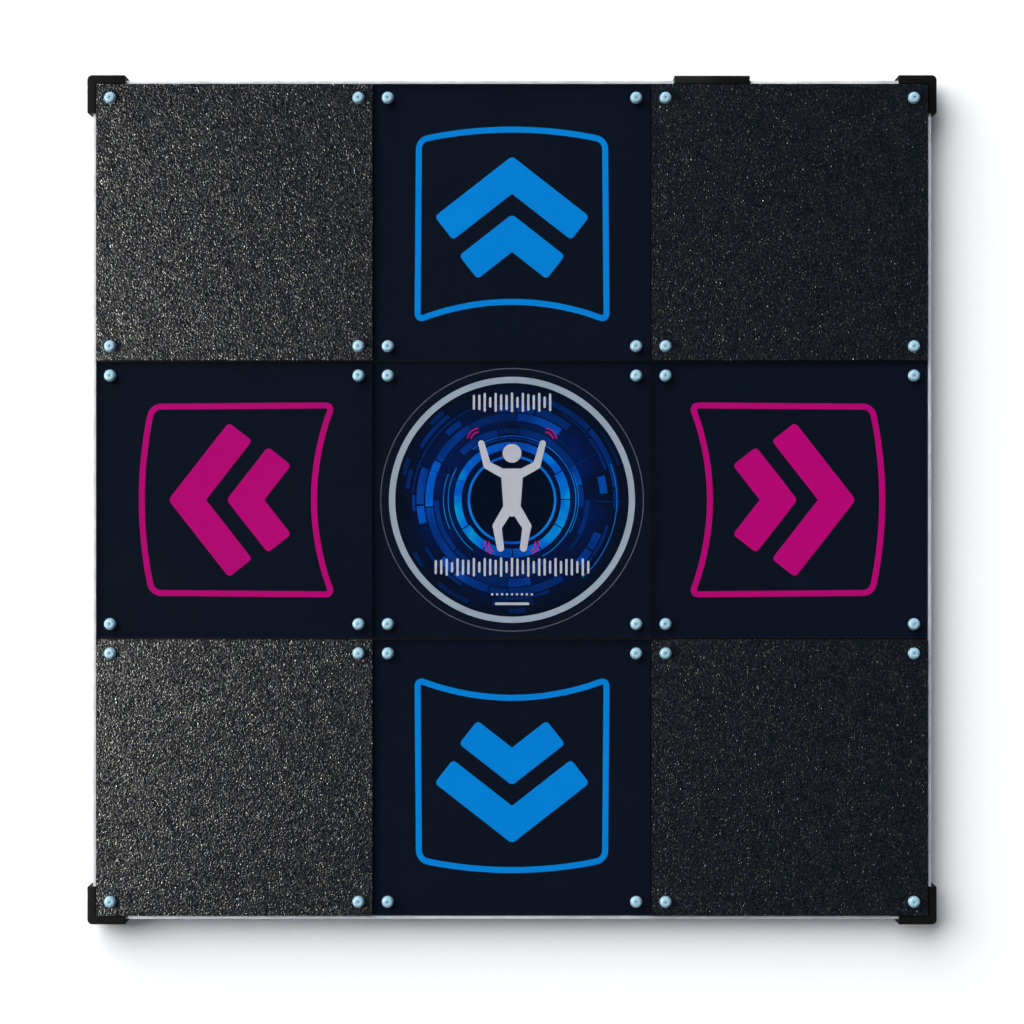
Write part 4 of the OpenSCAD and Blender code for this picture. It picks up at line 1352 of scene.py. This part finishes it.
# film-faced plywood is dark brown; its colour is taken darker still as painted shade where its edges show in
# the gaps between panels
dress(["grip_board_" + corner for corner in CORNERS],
      wood("dark film plywood with painted gap shade", rgb(46, 38, 31), rgb(26, 22, 19), grain_turn=0, rough=0.45,
           layer=1.3 * MM, base=grip_base))
dress(["centre_backing"], wood("backing board", rgb(58, 47, 38), rgb(30, 25, 21), grain_turn=90, rough=0.6))
dress(["contact_plate_" + side for side in SIDES],
      brushed_metal("contact plate", (0.72, 0.73, 0.75, 1), (0.5, 0.51, 0.53, 1), turn=0, metallic=0.95,
                    rough=0.3))
dress(["contact_strips_" + side for side in SIDES],
      brushed_metal("contact brass", (0.78, 0.56, 0.24, 1), (0.5, 0.34, 0.14, 1), turn=90, metallic=0.95,
                    rough=0.3))
dress(["threaded_inserts"],
      brushed_metal("insert brass", (0.74, 0.54, 0.26, 1), (0.42, 0.3, 0.14, 1), turn=90, metallic=0.9,
                    rough=0.35, line_depth=0.05, turn_axis=1))
dress(["controller_circuit"], circuit_finish())

film = printed("navy film", rgb(9, 15, 29), rgb(7, 12, 24), rough=0.16, scale=12.0, gloss=0.15)
blue_ink = printed("blue ink", rgb(0, 133, 218), rgb(0, 128, 213), rough=0.22, scale=16.0)
magenta_ink = printed("magenta ink", rgb(186, 0, 117), rgb(180, 0, 112), rough=0.22, scale=16.0)
for side in SIDES:
    upright = side in ("up", "down")
    arrow_print(side, film, blue_ink if upright else magenta_ink)
centre_print(film, {
    "glow": glow_print(),
    "blue": arc_ink("blue arc ink", rgb(0, 22, 58), rgb(0, 50, 132), rgb(0, 94, 204), rgb(0, 166, 214)),
    "cyan": arc_ink("cyan arc ink", rgb(0, 44, 110), rgb(0, 84, 196), rgb(0, 140, 222), rgb(0, 200, 216)),
    "silver": printed("silver ink", rgb(156, 171, 186), rgb(148, 162, 177), rough=0.3, scale=40.0, gloss=0.2),
    "grey": printed("grey ink", rgb(86, 94, 104), rgb(78, 86, 96), rough=0.3, scale=40.0),
    "white": printed("light ink", rgb(190, 192, 200), rgb(182, 185, 194), rough=0.25, scale=30.0),
    "magenta": magenta_ink,
})

clear = clear_sheet()
foam = cell_foam()
for side in SIDES:
    refined("arrow_cover_" + side, clear, 0.5 * MM, "arrow_panel_" + side, segments=3)
    foam_ring(side, foam)
refined("centre_cover", clear, 0.5 * MM, segments=3)

grit = grit_finish()
for corner in CORNERS:
    grip_sheet(corner, grit)

# the profiles get dark walls, and their upward faces are painted pale: painted light, tops lighter than walls
for edges, way, turn in ((("front", "back"), "x", 0), (("left", "right"), "y", 90)):
    aluminium = brushed_metal("drawn aluminium along " + way, (0.4, 0.42, 0.45, 1), (0.29, 0.31, 0.34, 1),
                              turn=turn, metallic=0.62, rough=0.34, top_light_amount=1.0)
    for edge in edges:
        refined("frame_profile_" + edge, aluminium, 0.35 * MM)

guard_plastic = moulded_plastic("guard plastic", rgb(9, 9, 9), rgb(16, 16, 15), rough=0.66, skin_scale=1300.0,
                              skin_depth=0.06, dust=0.05, gloss=0.08)
for corner in CORNERS:
    refined("corner_guard_" + corner, guard_plastic, 0.8 * MM, segments=3, above=3 * MM)

housing_plastic = moulded_plastic("housing plastic", rgb(12, 12, 13), rgb(20, 20, 21), rough=0.5,
                                skin_scale=1700.0, skin_depth=0.03, dust=0.08, gloss=0.2)
lid_plastic = moulded_plastic("lid plastic", rgb(28, 28, 31), rgb(40, 40, 43), rough=0.45)
refined("controller_housing", housing_plastic, 0.3 * MM)
refined("controller_lid", lid_plastic, 0.3 * MM)
foot_rubber = mottled("foot rubber", rgb(24, 24, 25), rgb(48, 47, 45), cloud=(60.0, 5.0, 0.65),
                      grain=(1100.0, 3.0, 0.6), rough=(0.72, 0.9), depth=0.05, strength=0.6, gloss=0.35,
                      rubbed=rgb(84, 82, 78))
refined("rubber_feet", foot_rubber, 0.3 * MM)

panel_fasteners(
    zinc_plate("blue zinc", (0.34, 0.54, 0.65, 1), (0.27, 0.46, 0.57, 1), metallic=0.12, rough=0.5),
    zinc_plate("washer zinc", (0.3, 0.46, 0.55, 1), (0.2, 0.33, 0.41, 1), metallic=0.3, rough=0.42))
steel = zinc_plate("screw steel", (0.62, 0.64, 0.66, 1), (0.42, 0.44, 0.46, 1), metallic=0.9, rough=0.3)
# head radius and height, shank radius, all in millimetres, and the seed of the screws' turns
for name, node_name, way, head_r, head_h, shank_r, seed in (
        ("profile_screws", "frame_profile_screws", downward, 3.6, 1.2, 1.75, 12),
        ("foot_screw_set", "foot_screws", downward, 3.6, 1.2, 1.75, 13),
        ("guard_screws", "corner_guard_screws", outward, 3.4, 2, 1.75, 14),
        ("lid_screws", "controller_screws", upward, 2.4, 0.28, 1.25, 15)):
    screw_set(name, node_name, steel, way, head_r * MM, head_h * MM, shank_r * MM, seed)

data_socket(
    zinc_plate("socket shell", (0.66, 0.67, 0.69, 1), (0.5, 0.51, 0.54, 1), metallic=0.95, rough=0.24),
    moulded_plastic("socket tongue", rgb(196, 194, 186), rgb(206, 204, 198), rough=0.4),
    brushed_metal("socket contacts", (0.85, 0.64, 0.3, 1), (0.7, 0.5, 0.22, 1), turn=90, metallic=1.0,
                  rough=0.25))
controller_chips(
    moulded_plastic("chip epoxy", rgb(22, 22, 24), rgb(30, 30, 32), rough=0.55),
    moulded_plastic("header nylon", rgb(214, 208, 190), rgb(222, 217, 202), rough=0.5),
    zinc_plate("tinned pins", (0.7, 0.71, 0.72, 1), (0.55, 0.56, 0.58, 1), metallic=0.95, rough=0.28))
smooth_leads(mottled("lead sleeve", rgb(168, 18, 24), rgb(120, 12, 18), cloud=(45.0, 4.0, 0.6),
                     grain=(1800.0, 2.0), rough=(0.34, 0.5), depth=0.01, strength=0.4, gloss=0.45))

# the raking light falls on everything but the clear covers, where it would only glare
for thing in bpy.context.scene.objects:
    if thing.type == "MESH" and "cover" not in thing.name:
        raked.objects.link(thing)
